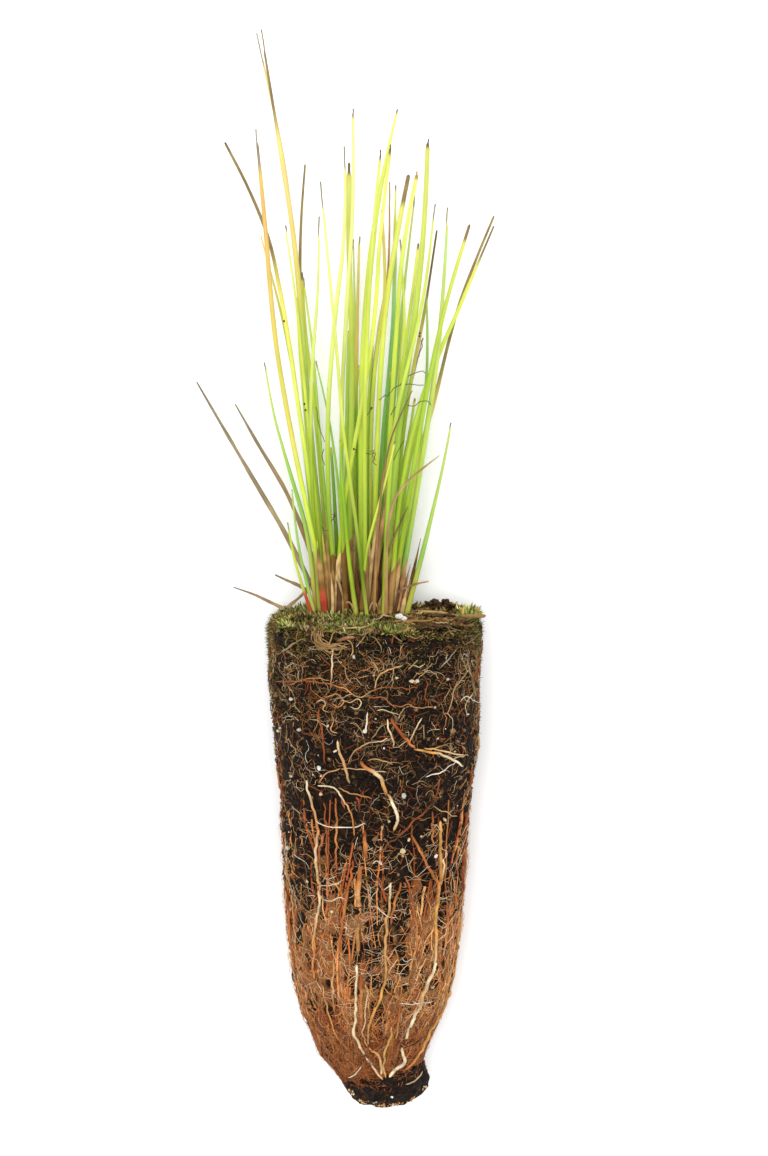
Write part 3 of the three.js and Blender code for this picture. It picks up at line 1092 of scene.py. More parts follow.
@dataclass
class MatGaps:
    """Gaps in the root mat on the side facing up, where dark soil shows: picture points, and radii."""

    spots: str = """
        296,889,2.4 304,903,2.4 299,921,2.2 297,938,1.8 364,893,1.6 404,879,2.2 409,912,1.5 396,920,1.5
        370,929,1.6 351,948,2 366,951,1.5 428,951,1.3 447,961,1.5 406,972,1.5 425,972,1.2 328,985,1.3
        353,992,1.1 391,987,1.3 405,990,1.3 310,1008,1.9 328,1012,1.7 412,1028,1.2 380,1037,1.3
        309,965,1.3 344,915,1.4 434,1003,1.1 381,1012,1
    """
    angles: Array | None = None
    heights: Array | None = None
    radii: Array | None = None

    def find(self) -> None:
        """Lays the gaps on the ball."""
        spots = points_of(self.spots)
        laid = np.array([SIGHT.lay(across, down) for across, down, _ in spots])
        self.radii = spots[:, 2]
        self.angles = np.arctan2(laid[:, 2], laid[:, 0])
        self.heights = laid[:, 1]

    def open(self, angle: Array, y: Array) -> Array:
        """How far inside a gap a place is.

        Args:
            angle: around the ball.
            y: along the plant.

        Returns:
            From 0 outside to 1 in the middle.
        """
        across = 20 * (angle[..., None] - self.angles)
        along = 0.8 * (y[..., None] - self.heights)
        return np.exp(-((np.hypot(across, along) / (0.85 * self.radii)) ** 4)).max(axis=-1)


GAPS = MatGaps()


def mat_cover(angle: Array, y: Array) -> Array:
    """How thickly roots cover a place on the ball.

    Args:
        angle: around the ball.
        y: along the plant.

    Returns:
        From 0 for bare soil to 1 for a closed mat.
    """
    angle, y = np.broadcast_arrays(np.asarray(angle, float), np.asarray(y, float))
    place = round_axis(angle, 22, y).reshape(-1, 3)
    windows = 0.6 * lumps(place, (3.2, 5.5, 3.2), 11) + 0.4 * lumps(place, (1.6, 2.6, 1.6), 12)
    open_share = np.interp(-place[:, 1], (45, 56, 68, 82, 98, 112), (1.0, 0.78, 0.6, 0.41, 0.33, 0.22))
    closed = smoothstep(0, 0.1, windows - open_share).reshape(angle.shape)
    return closed * (1 - smoothstep(0.1, 0.4, GAPS.open(angle, y)))


@dataclass
class SoilBody:
    """The body of the root ball: dark soil, roughened, and set back under its roots.

    Each kind of hollow has its depth and its size in millimetres, and a seed.
    """

    finish: SoilFinish = SoilFinish("soil_dark")
    pitch: float = 0.55
    crumb_pitch: float = 0.33
    moss_pitch: float = 0.5
    hollows: tuple[tuple[float, float, int], ...] = ((0.8, 3.4, 21), (0.6, 1.5, 22), (0.45, 0.75, 23))
    room: float = 2e-4

    def remeshed(self, node: str, pitch: float) -> Mesh:
        """An evenly faceted copy of a CAD node.

        Args:
            node: the node.
            pitch: size of a facet in millimetres.

        Returns:
            The copy's mesh.
        """
        bm = bmesh.new()
        bm.from_mesh(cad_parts[node].data)
        bmesh.ops.remove_doubles(bm, verts=bm.verts, dist=SAME_PLACE)
        mesh = bpy.data.meshes.new(node + "_even")
        bm.to_mesh(mesh)
        bm.free()
        holder = stand(node + "_even", mesh)
        even = holder.modifiers.new("even", "REMESH")
        even.mode = "VOXEL"
        even.voxel_size = pitch / 1000
        shown = holder.evaluated_get(bpy.context.evaluated_depsgraph_get())
        result = bpy.data.meshes.new_from_object(shown)
        bpy.data.objects.remove(holder)
        return result

    def roughen(self, node: str, pitch: float, name: str) -> None:
        """Sets the surface of a CAD node back into lumps and hollows and colours it.

        Args:
            node: the CAD node.
            pitch: size of a facet in millimetres.
            name: of the piece.
        """
        mesh = self.remeshed(node, pitch)
        row = np.zeros(len(mesh.vertices) * 3)
        mesh.vertices.foreach_get("co", row)
        row = row.reshape(-1, 3)
        normals = np.array([v.normal for v in mesh.vertices])
        plant = PLACE.to_plant(row)
        angle = np.arctan2(plant[:, 2], plant[:, 0])
        y = plant[:, 1]
        on_ball = node == "root_ball"
        cover = mat_cover(angle, y) * on_ball
        hollow = sum((depth * lumps(plant, size, seed) for depth, size, seed in self.hollows), 0.15)
        hollow = hollow * (1 - 0.55 * cover)
        if on_ball:
            hollow = hollow * (1 - 0.8 * smoothstep(-6.5, -4.2, y))
        if node == "soil_crumb":
            hollow = np.maximum(hollow - 0.7, 0) * 0.5 + 0.02
        moved = row - normals * hollow[:, None] / 1000
        if node == "moss_mat":
            moved[:, 1] -= 0.0012 * smoothstep(-2.6, -3.6, y)
        mesh.vertices.foreach_set("co", keep_on_floor(moved, self.room).ravel())
        mesh.update()
        mesh.shade_smooth()
        shares = lumps(plant, (2.0, 6.0, 2.0), 31)[:, None]
        tints = toward(Tint.RUST.rgb * 0.8, Tint.TAN.rgb * 0.5, shares)
        tints = toward(tints, Tint.RUST.rgb * 0.42, end_share(y))
        tints = tints * (0.75 + 0.5 * lumps(plant, 1.1, 34))[:, None]
        tint_corners(mesh, tints)
        share = mesh.attributes.new("cover", "FLOAT", "POINT")
        share.data.foreach_set("value", cover * 0.85)
        add_piece(name, mesh, self.finish.build(), (node,))

    def build(self) -> None:
        """Makes the soil body and the bare crumb at its narrow end."""
        self.roughen("root_ball", self.pitch, "soil_body")
        self.roughen("soil_crumb", self.crumb_pitch, "soil_tip")
        self.roughen("moss_mat", self.moss_pitch, "moss_base")


@dataclass(frozen=True)
class HairBed:
    """One kind of fine root and where it grows on the ball."""

    name: str
    count: int
    top: float
    bottom: float
    length: tuple[float, float]
    thick: tuple[float, float]
    heading: float
    spread: float
    wander: float
    depth: tuple[float, float]
    colours: str
    on_mat: float
    stations: int = 12
    sides: int = 3
    curl: float = 0.0
    on_tip: bool = False
    patchy: float = 0.0
    over: float = -0.2


@dataclass
class FineRoots:
    """The fine roots that cover the ball, in joined meshes."""

    skin: BallSkin
    finish: MattFinish = MattFinish("fine_root")
    tries: int = 4
    lowest: float = -127.8
    first_seed: int = 500
    beds: tuple[HairBed, ...] = (
        HairBed("roots_bands", 200, -43, -114, (14, 42), (0.4, 1.0), 0.0, 0.1, 0.12, (0.1, 0.5),
                "RUST ORANGE RUST DARK_RUST ORANGE TAN", 0.5, 20, 5),
        HairBed("roots_mat_down", 2200, -46, -120, (5, 16), (0.16, 0.4), 0.0, 0.4, 0.4, (0.0, 0.5),
                "TAN ORANGE TAN RUST GOLD_ROOT RUST", 1.0, 9),
        HairBed("roots_mat_across", 1950, -50, -119, (3, 10), (0.11, 0.24), 1.57, 0.9, 0.9, (0.0, 0.45),
                "TAN TAN ORANGE PALE ORANGE", 0.98, 9, curl=0.3),
        HairBed("roots_end", 700, -98, -121, (4, 11), (0.14, 0.3), 0.3, 0.9, 0.9, (0.0, 0.3),
                "RUST RUST DARK_RUST ORANGE ORANGE", 0.0, 9, curl=0.4, over=2.6),
        HairBed("roots_tangle", 600, -9, -27, (3, 8), (0.1, 0.22), 1.57, 0.7, 1.2, (0.0, 0.4),
                "ORANGE TAN RUST PALE ROOT_BROWN", 0.0, 10, curl=0.9, patchy=0.8),
        HairBed("roots_upper", 1900, -1.4, -76, (2, 7), (0.08, 0.22), 1.2, 1.3, 1.4, (0.0, 0.7),
                "TAN ROOT_BROWN RUST ORANGE STRAW BARK ORANGE RUST",
                0.0, 8, curl=0.6, patchy=0.8),
        HairBed("root_hairs", 1400, -6, -118, (2, 6.5), (0.08, 0.14), 1.4, 1.5, 1.5, (0.0, 0.25),
                "HAIR PALE TAN TAN TAN", 0.0, 8, curl=0.8, patchy=0.7),
        HairBed("root_webs", 900, -52, -117, (3, 9), (0.08, 0.14), 1.3, 1.2, 1.2, (-0.5, -0.2),
                "PALE TAN TAN TAN HAIR", 0.45, 8, curl=0.5, patchy=0.4),
        HairBed("roots_fringe", 420, -114, -122, (2, 6), (0.12, 0.3), 0.4, 0.9, 0.8, (-0.1, 0.2),
                "DARK_RUST RUST ROOT_BROWN TAN BARK", 0.0, 9, curl=0.3, over=2.8),
        HairBed("roots_tip", 110, -116, -127, (1.5, 4.5), (0.1, 0.2), 1.3, 1.2, 1.0, (0.0, 0.4),
                "ORANGE TAN RUST", 0.0, 10, curl=0.4, on_tip=True),
    )

    def paths(self, bed: HairBed, rng: Generator) -> tuple[Array, Array, Array]:
        """Walks every root of a bed over the ball.

        Args:
            bed: the kind of root.
            rng: draws the numbers.

        Returns:
            Stations, outward directions and radii of the roots that stay on the ball.
        """
        tries = bed.count * self.tries
        angle = rng.uniform(0, TURN, tries)
        y = rng.uniform(bed.bottom, bed.top, tries)
        heading = bed.heading * rng.choice([-1, 1], tries) + rng.normal(0, bed.spread, tries)
        length = rng.uniform(*bed.length, tries)
        step = length / (bed.stations - 1)
        bend = rng.normal(0, bed.curl, tries)
        deep = rng.uniform(*bed.depth, tries)
        wave = rng.uniform(0, TURN, tries)
        thick = rng.uniform(0, 1, tries) ** 1.6 * (bed.thick[1] - bed.thick[0]) + bed.thick[0]
        angles, ys, depths = [], [], []
        for k in range(bed.stations):
            angles.append(angle.copy())
            ys.append(y.copy())
            depths.append(deep + 0.22 * (1 + np.sin(wave + k * 0.9)) + thick / 2)
            across = self.skin.radius(angle, y)
            angle = angle + np.sin(heading) * step / across
            y = y - np.cos(heading) * step
            wander = rng.normal(0, bed.wander, tries) * np.sqrt(step / 1.5) * 0.5
            heading = heading + wander + bend * step * 0.25
        angles, ys, depths = np.stack(angles, 1), np.stack(ys, 1), np.stack(depths, 1)
        cover = mat_cover(angles[:, ::4], ys[:, ::4]).mean(axis=1)
        wanted = rng.uniform(0, 1, tries) < 1 - bed.on_mat * (1 - cover**2)
        patches = smoothstep(0.42, 0.6, lumps(self.skin.point(angles[:, 0], ys[:, 0], 0), 6.5, 97))
        wanted &= rng.uniform(0, 1, tries) < 1 - bed.patchy * (1 - patches)
        if bed.on_mat >= 0.5:
            wanted &= rng.uniform(0, 1, tries) > 0.92 * GAPS.open(angles, ys).max(axis=1)
        x = self.skin.radius(angles, ys) * np.cos(angles)
        lowest = self.lowest if bed.on_tip else tip_cut(x) - bed.over
        stays = (ys < self.skin.top - 0.2).all(axis=1) & (ys > lowest).all(axis=1)
        keep = np.flatnonzero(wanted & stays)[: bed.count]
        angles, ys, depths = angles[keep], ys[keep], depths[keep]
        lines = self.skin.point(angles, ys, depths)
        outward = round_axis(angles, 1, 0)
        t = np.linspace(0, 1, bed.stations)
        radii = thick[keep][:, None] / 2 * (1 - 0.6 * t**2)[None]
        return lines, outward, radii

    def build(self) -> None:
        """Makes every bed of fine roots."""
        material = self.finish.build()
        for number, bed in enumerate(self.beds):
            rng = default_rng(self.first_seed + number)
            lines, outward, radii = self.paths(bed, rng)
            pick = drawn(rng, bed.colours, len(lines))
            tone = rng.uniform(0.5, 1.15, len(lines))
            near_end = 0.72 * end_share(lines[:, 0, 1])
            pick = toward(pick, Tint.RUST.rgb, near_end)
            warm = 0.3 * smoothstep(-56, -80, lines[:, 0, 1])[:, None]
            pick = toward(pick, Tint.ORANGE.rgb, warm)
            lighter = 0.4 * np.exp(-(((lines[:, 0, 1] + 57) / 8) ** 2))[:, None]
            pick = pick * (1 + lighter + 1.3 * warm * (1 - near_end)) * (1 - 0.2 * near_end)
            tints = np.repeat((pick * tone[:, None])[:, None], bed.stations, axis=1)
            joined = Joined()
            joined.strands(lines, radii, outward, tints, bed.sides)
            joined.finish(bed.name, "root", material)


@dataclass(frozen=True)
class Traced:
    """One root, strand or sheath, by its tints, the picture points that it passes and its sizes."""

    tints: str
    points: Array
    thick: float
    lift: float = 0.0
    flat: float = 1.0
    knots: float = 0.05
    wobble: float = 0.7


def traced(table: str) -> tuple[Traced, ...]:
    """Reads traced lines.

    Args:
        table: a row for each, of its sizes, its tints and its picture points.

    Returns:
        The lines in order.
    """
    return tuple(
        Traced(tints, points_of(points), *floats_of(sizes))
        for sizes, tints, points in rows_of(table)
    )


def laid_roots(roots: tuple[Traced, ...], seed: int, share: float = 1.0) -> BMesh:
    """Sweeps every root of a group along the side of the ball.

    Args:
        roots: the group.
        seed: picks their unevenness.
        share: of their thickness.

    Returns:
        The mesh.
    """
    bm = new_bmesh()
    rng = default_rng(seed)
    for number, root in enumerate(roots):
        line = SIGHT.route(root.points, root.lift, 0.5)
        count = len(line)
        t = np.linspace(0, 1, count)
        swell = 1 + root.knots * 3 * (lumps(np.c_[t * 0, t * 0, t * count * 0.5], 2.2, 60 + number) - 0.5)
        taper = 0.62 + 0.38 * np.sin(math.pi * (0.12 + 0.76 * t))
        wide = 0.82 * share * root.thick * swell * taper
        wide[0] = wide[-1] = 0.02
        mottled = 0.5 * lumps(line, 1.6, 80 + number) + 0.5 * lumps(line, 0.7, 180 + number)
        tints = blend(t, root.tints) * (0.36 + 0.88 * mottled)[:, None]
        line = line + 0.12 * (rng.random((count, 3)) - 0.5)
        for k in range(3):
            line[:, k] += root.wobble * (lumps(line, 1.6, 120 + 3 * number + k) - 0.5)
        Sweep(line, wide, wide * root.flat, tints, SIGHT.back(), 8, seed=number, ridges=0.06).onto(bm)
    return bm


@dataclass
class TracedRoots:
    """The roots that can be told apart one by one."""

    finish: MattFinish = MattFinish("thick_root")
    thick: tuple[Traced, ...] = traced("""
        1.25 0.25 | RUST ORANGE PALE GOLD_ROOT ORANGE | 360,761 367,768 375,773 380,778 385,789 387,795;
        1 0.2 | ORANGE PALE CREAM PALE GOLD_ROOT | 387,793 393,804 397,814 398,822 394,831;
        0.85 | CREAM TAN ORANGE PALE TAN PALE TAN ORANGE ORANGE | 307,780 307.5,788 310,798 313.5,808 315,818
            318,829 317,842 315,856 317,868 319,882 319.5,895 319,909 316,925 314,940 313,957 314,980;
        1.7 -0.1 0.55 0.12 | RUST ORANGE TAN ORANGE TAN ORANGE | 364,866 359,876 358,892 359,908 358,920
            357,934 358,952;
        0.95 | CREAM PALE PALE PALE CREAM TAN | 357,964 356,984 356,1004 356,1020 353,1031 357,1042 363,1052
            370,1062 377,1072 383,1080;
        0.95 | PALE GOLD_ROOT TAN GOLD_ROOT GOLD_ROOT TAN | 390,883 390,898 388,912 386.5,928 386,946 386,964
            385,980 382,994 378,1006 372,1017 369,1027 367.5,1037 367.5,1046;
        0.8 | GOLD_ROOT TAN PALE | 367.5,1046 373,1052 378,1054 381,1064 382,1076;
        1.2 | GOLD_ROOT GOLD_ROOT ORANGE GOLD_ROOT GOLD_ROOT PALE | 440.5,821 441,840 441,858 440,882 438,902
            436,920 436,940 435.5,966;
        1.2 0.1 | CREAM PALE TAN CREAM PALE | 436,962 433,972 429,980 426,990 422,1000 417,1012 411,1024
            405.5,1039;
        1.1 0.15 | PALE CREAM CREAM PALE | 401,1047 402.5,1055 406,1060 402,1066 395,1070 389,1078;
    """)
    middle: tuple[Traced, ...] = traced("""
        1.2 0.25 | RUST RUST ORANGE | 391,718 397,728 404,737 410,744 416,748;
        0.95 0.3 | GOLD_ROOT GOLD_ROOT PALE HAIR | 414,748 425,751 435,753 447,756 455,760 464,767;
        0.6 0.3 | GOLD_ROOT PALE | 424,748 435,750 448,753 464,754.5;
        0.45 0.3 | GOLD_ROOT STRAW | 430,751 439,747 449,745;
        0.55 0.2 | TAN PALE | 410,743 415,730 423,718;
        0.45 0.2 | HAIR HAIR | 456,761 447,768 439,774 425,777;
        0.5 0.2 | TAN TAN | 393,764 383,760 374,758.5 367,761;
        0.45 0.2 | TAN PALE | 341,769 350,768.5 360,769 370,770 386,772;
        0.7 0.2 | PALE PALE STRAW | 387,719 389,728 392,738 395,748;
        0.55 0.2 | PALE STRAW TAN | 388,738 379,742 369,743 359,748 351,754 349,764;
        0.4 0.2 | STRAW STRAW | 382,724 376,733 371,739;
        0.6 0.2 | HAIR HAIR | 368,712 367,720 365,731;
        1 0.3 0.6 | PALE TAN TAN STRAW | 337,741 341,756 346,768 350,784;
        0.8 0.3 | PALE CREAM | 338,749 333,752;
        0.75 0.1 | RUST RUST DARK_RUST | 319,708 321,724 324,740 325,764;
        0.65 0.2 | CREAM PALE ORANGE ORANGE | 318,786 329,786 338,791 344,800 351,812 353,824 355,836;
        0.45 0.2 | CREAM HAIR | 315,820 323,825 335,828 351,828 366,824;
        0.5 0.2 | ORANGE TAN | 318,784 324,776 332,772 340,768;
        0.5 0.1 | TAN ORANGE | 338,788 349,793 362,796 372,799;
        0.8 | RUST ORANGE RUST | 336,797 336.5,820 336,845 336,872;
        0.6 | RUST RUST ORANGE | 324,802 326,825 327,850 327,872;
        0.8 | RUST ORANGE | 319,845 319.5,858 320,872;
        1 -0.1 | RUST DARK_RUST | 357,796 359,812;
        0.9 -0.1 | RUST ORANGE | 342,796 344,808;
        1.5 0 0.7 | RUST ORANGE RUST | 364,831 365.5,845 366,860;
        0.75 0.2 | RUST BARK RUST BARK RUST | 440,778 438,792 433,804 423,814 411,824 403,832 388,845 377,856;
        0.45 0.2 | TAN STRAW | 434,806 447,813 458,817;
        0.75 | RUST ORANGE | 432,812 433,828 433,846;
        1 | RUST ORANGE RUST | 411,834 417,845 424,857 429,870;
        1.5 -0.4 | RUST DARK_RUST RUST DARK_RUST DARK_RUST | 467,812 466,830 464,850 463,872 462,895 460,912;
        1.2 -0.4 | RUST RUST | 472.5,770 471.5,784;
        1 -0.3 | STRAW TAN | 479,733 479,745 478,757;
        0.8 -0.3 | TAN RUST | 276,766 280,784 282,800;
        0.9 -0.1 | RUST ORANGE | 281,842 285,832;
        0.95 -0.3 | DARK_RUST RUST ORANGE RUST TAN | 285,886 288,902 290,920 290.5,938 293,960 296,982;
        1.1 0 0.8 | RUST RUST ORANGE RUST ORANGE | 352,860 352,872 349,886 346,900 343,918 341,932 340,944
            341,958;
        1 | RUST RUST | 376,876 380,886 384,895 387,903;
        1 | RUST ORANGE RUST | 401,881 398,894 393,910 390.5,926;
        0.85 | RUST RUST ORANGE TAN | 406,876 410,890 413,908 417,928 417,944 414,956 409,970;
        1.2 | RUST ORANGE | 426,862 432,873 438,884;
        0.8 | PALE GOLD_ROOT | 444,858 443.5,872 441,886;
        0.7 | RUST RUST ORANGE | 430,880 428,896 424,912 424,928 421,940 418,952;
        0.8 | RUST ORANGE TAN | 447,904 447,924 446,940 444,956;
        0.75 -0.1 | TAN GOLD_ROOT TAN GOLD_ROOT | 462,918 459,940 457,958 454,974 451,990 452,997 443,1013
            434,1027;
        1.1 | TAN GOLD_ROOT GOLD_ROOT ORANGE | 452,990 446,1006 438,1020 431,1030 427,1039 422,1051 414,1062
            405,1070;
        1.2 -0.2 | RUST ORANGE RUST | 361,974 361.5,994 362,1013 361,1034;
        0.5 0.1 | TAN PALE TAN | 365,983 368,993 366,1005 364.5,1022 363,1035 367,1047;
        0.95 0.1 | GOLD_ROOT AMBER GOLD_ROOT | 391.7,1027 391.7,1037 387,1045 385,1055 384,1067 386,1079;
        0.6 | PALE STRAW | 423,1072 417,1080 405,1085;
        0.45 0.2 | HAIR HAIR | 347.5,1078 357,1073 362,1066;
        0.8 -0.1 | ORANGE TAN RUST | 333,957 333,980 334,1000 336,1020;
        0.6 | TAN ORANGE | 323,985 326,1004 331,1022 338,1040;
        0.7 -0.1 | ORANGE RUST TAN | 401,985 400,1004 399,1022 396,1040;
        0.7 -0.1 | RUST ORANGE | 418,1030 413,1046 405,1060;
    """)
    upper: tuple[Traced, ...] = traced("""
        0.45 0.2 | ROOT_BROWN RUST ORANGE TAN RUST RUST | 275,682 290,681 305,680 318,682 330,684 342,688
            353,695 361,697 373,690 386,688 400,688 418,688;
        0.35 0.2 | ORANGE TAN | 290,685 303,679 318,677 330,681;
        0.7 0.2 | TAN PALE TAN ORANGE | 331,647 332,657 331,667 330.6,678 331,688;
        0.6 0.2 | TAN TAN | 402,665 393,669 383,673 377,679 375,689;
        0.45 0.2 | TAN TAN | 373,660 376,667 379,674;
        0.4 0.2 | TAN TAN | 393,668 393,676 391,682;
        0.26 0.2 | HAIR STRAW | 441,667 450,657 456,648;
        0.9 0.2 0.6 | STRAW TWIG STRAW | 468,664 472,677 476,697;
        0.5 0.2 | TAN STRAW | 448,714 451,702 453,692 460,681 467,672;
        0.24 0.3 | HAIR STRAW | 356,647 361,641 367,633;
        0.4 0.3 | PALE GOLD_ROOT | 315,704 322,699 327,705 322,711 330,712;
        0.45 0.3 | TAN ORANGE | 326,697 336,693 344,700 339,708 332,704;
        0.4 0.3 | TAN PALE | 341,700 350,702 358,699 363,704 357,710 350,706;
        0.5 0.2 | ORANGE TAN | 330,712 333,722 331,730 338,733;
        0.45 0.2 | RUST ORANGE | 366,696 374,699 383,697 389,703 396,708;
        0.45 0.2 | RUST TAN | 389,704 398,706 410,705 420,708 433,706;
        0.4 0.2 | PALE TAN | 376,712 386,710 394,714 401,716;
        0.5 0.1 | BARK RUST | 424,673 427,682 425,692 428,702;
        0.75 0.3 0.7 | STRAW OLIVE | 280,652 292,645 300,641 307,638;
        0.35 0.2 | HAIR HAIR | 460,702 466,695 473,700 479,703;
        0.4 0.2 | STRAW STRAW | 290,742 296,751 291,758;
        0.4 0.2 | PALE STRAW | 453,759 461,756 470,755;
        0.35 0.6 | HAIR HAIR | 399,1003 413,1004 426,1003 433,1000;
        0.3 0.7 | HAIR HAIR | 412,1000 419,1005 424,1007;
        0.45 0.3 | HAIR HAIR | 372,864 378,861 384,866 380,860;
        0.4 0.4 | HAIR HAIR | 384,890 389,886 392,882;
        0.35 0.3 | HAIR PALE | 370,907 379,908 382,914 389,917 398,918;
        0.35 0.3 | PALE HAIR | 323,900 331,901 339,897 347,901;
        0.35 0.3 | PALE PALE | 318,887 330,885 343,880;
        0.35 0.3 | HAIR HAIR | 401,957 404,963 409,960 417,958;
        0.35 0.3 | PALE PALE | 437,925 444,929 449,923 443,936 438,941;
    """)

    def build(self) -> None:
        """Makes the roots, the thickest as the stand-ins of the CAD's roots."""
        material = self.finish.build()
        nodes = tuple(f"thick_root_{k:02d}" for k in range(1, 6))
        finish_bmesh(laid_roots(self.thick, 1), "roots_thick", material, nodes)
        finish_bmesh(laid_roots(self.middle, 2, 0.82), "roots_middling", material)
        finish_bmesh(laid_roots(self.upper, 3, 0.75), "roots_slender", material)


@dataclass
class Crumbs:
    """Loose crumbs, peat fibres and pale grains on the side of the ball."""

    skin: BallSkin
    finish: MattFinish = MattFinish("soil_crumbs", 0.9)
    crumbs: int = 4700
    fibres: int = 2300
    tip_crumbs: int = 700
    end_bits: int = 130
    variants: int = 12
    end_edge: str = "349,1092 356,1099 365,1104 377,1106.5 392,1106.5 404,1104 414,1099 422,1093 426,1087"

    def lump_shapes(self, rng: Generator) -> tuple[Array, Array]:
        """Uneven twenty-sided lumps.

        Args:
            rng: draws the numbers.

        Returns:
            Corners of a few variants, and the faces that they share.
        """
        bm = bmesh.new()
        bmesh.ops.create_icosphere(bm, subdivisions=1, radius=1)
        bm.verts.ensure_lookup_table()
        corners = np.array([v.co for v in bm.verts])
        faces = np.array([[v.index for v in f.verts] for f in bm.faces])
        bm.free()
        return corners[None] * rng.uniform(0.65, 1.2, (self.variants, len(corners), 1)), faces

    def scatter(self, joined: Joined, places: Array, sizes: Array, tints: Array, seed: int) -> None:
        """Adds a lump at each place.

        Args:
            joined: the mesh that grows.
            places: middles of the lumps.
            sizes: their radii.
            tints: their colours.
            seed: picks their shapes.
        """
        rng = default_rng(seed)
        shapes, faces = self.lump_shapes(rng)
        pick = shapes[rng.integers(0, len(shapes), len(places))]
        squash = rng.uniform(0.6, 1.15, (len(places), 1, 3))
        turn = np.linalg.qr(rng.normal(size=(len(places), 3, 3)))[0]
        turn[:, :, 0] *= np.sign(np.linalg.det(turn))[:, None]
        corners = np.einsum("nij,nkj->nki", turn, pick * squash) * sizes[:, None, None] + places[:, None]
        joined.add(corners, faces, tints[:, None, :])

    def build(self) -> None:
        """Makes the crumbs and the peat fibres."""
        rng = default_rng(77)
        material = self.finish.build()
        angle = rng.uniform(0, TURN, self.crumbs * 2)
        y = -0.9 - rng.uniform(0, 1, self.crumbs * 2) ** 1.1 * 126.5
        y[: 2 * self.tip_crumbs : 2] = rng.uniform(-127.6, -119, self.tip_crumbs)
        sparse = rng.uniform(0, 1, len(y)) > mat_cover(angle, y) * 0.85
        keep = np.flatnonzero(sparse)[: self.crumbs]
        angle, y = angle[keep], y[keep]
        sizes = 0.16 + 0.95 * rng.uniform(0, 1, len(keep)) ** 3.4
        places = self.skin.point(angle, y, sizes * 0.8 + rng.uniform(0.1, 0.9, len(keep)))
        on_tip = y < tip_cut(places[:, 0])
        places[on_tip] = self.skin.point(angle, y, sizes * 0.9)[on_tip]
        tints = drawn(rng, "SOIL SOIL PEAT PEAT UMBER BARK ROOT_BROWN UMBER TWIG", len(keep))
        tints = tints * rng.uniform(0.5, 1.15, (len(keep), 1))
        tints[on_tip] = Tint.PEAT.rgb * rng.uniform(0.4, 1.3, (on_tip.sum(), 1))
        specks = on_tip & (rng.uniform(0, 1, len(keep)) < 0.14)
        tints[specks] = Tint.TAN.rgb * rng.uniform(0.5, 1.1, (specks.sum(), 1))
        sizes[specks] = sizes[specks] * 0.5
        joined = Joined()
        self.scatter(joined, places, sizes, tints, 78)
        self.pale_edge(joined)
        joined.finish("soil_crumbs", "soil", material)
        self.peat(material)

    def pale_edge(self, joined: Joined) -> None:
        """Adds pale bits of root and grit along the lower edge of the bare crumb.

        Args:
            joined: the mesh that grows.
        """
        rng = default_rng(86)
        edge = through(points_of(self.end_edge), 200)
        picked = edge[rng.integers(0, len(edge), self.end_bits)]
        picked = picked + np.c_[rng.normal(0, 0.8, self.end_bits), -np.abs(rng.normal(0, 2.0, self.end_bits))]
        thick = lumps(np.c_[picked, np.zeros(self.end_bits)], 7.0, 87) > 0.42
        places = np.array([SIGHT.lay(*p) for p in picked[thick]])
        tints = drawn(rng, "TAN PALE STRAW ORANGE STONE", len(places))
        tints = tints * rng.uniform(0.5, 1.1, (len(places), 1))
        self.scatter(joined, places, rng.uniform(0.12, 0.42, len(places)), tints, 88)

    def peat(self, material: Material) -> None:
        """Makes short brown fibres and splinters.

        Args:
            material: that they wear.
        """
        rng = default_rng(79)
        stations = 4
        angle = rng.uniform(0, TURN, self.fibres)
        y = rng.uniform(-118, -1, self.fibres)
        heading = rng.uniform(0, math.pi, self.fibres)
        length = rng.uniform(0.8, 3.6, self.fibres)
        t = np.linspace(-0.5, 0.5, stations)
        around = angle[:, None] + np.sin(heading)[:, None] * length[:, None] * t / 24
        along = np.clip(y[:, None] + np.cos(heading)[:, None] * length[:, None] * t, -117, -0.8)
        depth = rng.uniform(0.15, 0.9, self.fibres)[:, None]
        depth = depth + rng.uniform(-0.2, 0.2, (self.fibres, stations))
        lines = self.skin.point(around, along, np.maximum(depth, 0.1))
        outward = round_axis(around, 1, 0)
        radii = rng.uniform(0.07, 0.22, self.fibres)[:, None] * np.ones(stations)
        tints = drawn(rng, "PEAT BARK UMBER SOIL STRAW RUST", self.fibres)
        tints = tints * rng.uniform(0.5, 1.1, (self.fibres, 1))
        joined = Joined()
        joined.strands(lines, radii, outward, np.repeat(tints[:, None], stations, axis=1), 3)
        joined.finish("peat_fibres", "soil", material)


class Scheme(Enum):
    """Colours that several stems share: heights in millimetres up the stem, each with its tint."""

    YELLOW = "0 SHEATH 6 FOOT 15 LEAF 30 GRASS 52 LIME 78 SUN 100 LEMON"
    LIME = "0 FOOT 8 LEAF 26 MEADOW 44 GRASS 60 LIME 80 LIME 98 LEMON"
    PALE = "0 FOOT 8 LEAF 28 LEAF 42 GRASS 54 LEMON 100 PALE_LEMON"
    GREEN = "0 FOOT 7 LEAF 30 MEADOW 52 FRESH 76 SPRING 105 LEMON"
    VIVID = "0 FOOT 7 LEAF 22 VIVID 42 VIVID 60 FRESH 105 SPRING"
    GOLDEN = "0 SHEATH 10 LEAF 26 GRASS 50 LIME 66 LEMON 82 GOLD 110 PALE_GOLD"
    BROWN = "0 SHEATH 12 LEAF 35 MEADOW 55 LIME 64 AMBER 80 AMBER"


@dataclass(frozen=True)
class StemLook:
    """Colours of a stem at heights up it, the length and tint of its dry end, and the form of that end."""

    colours: str
    dry: str
    wisp: float = 0.0
    slim: float = 0.6
    flat: float = 1.0
    neck: float = 0.85
    thinned: float = 0.7


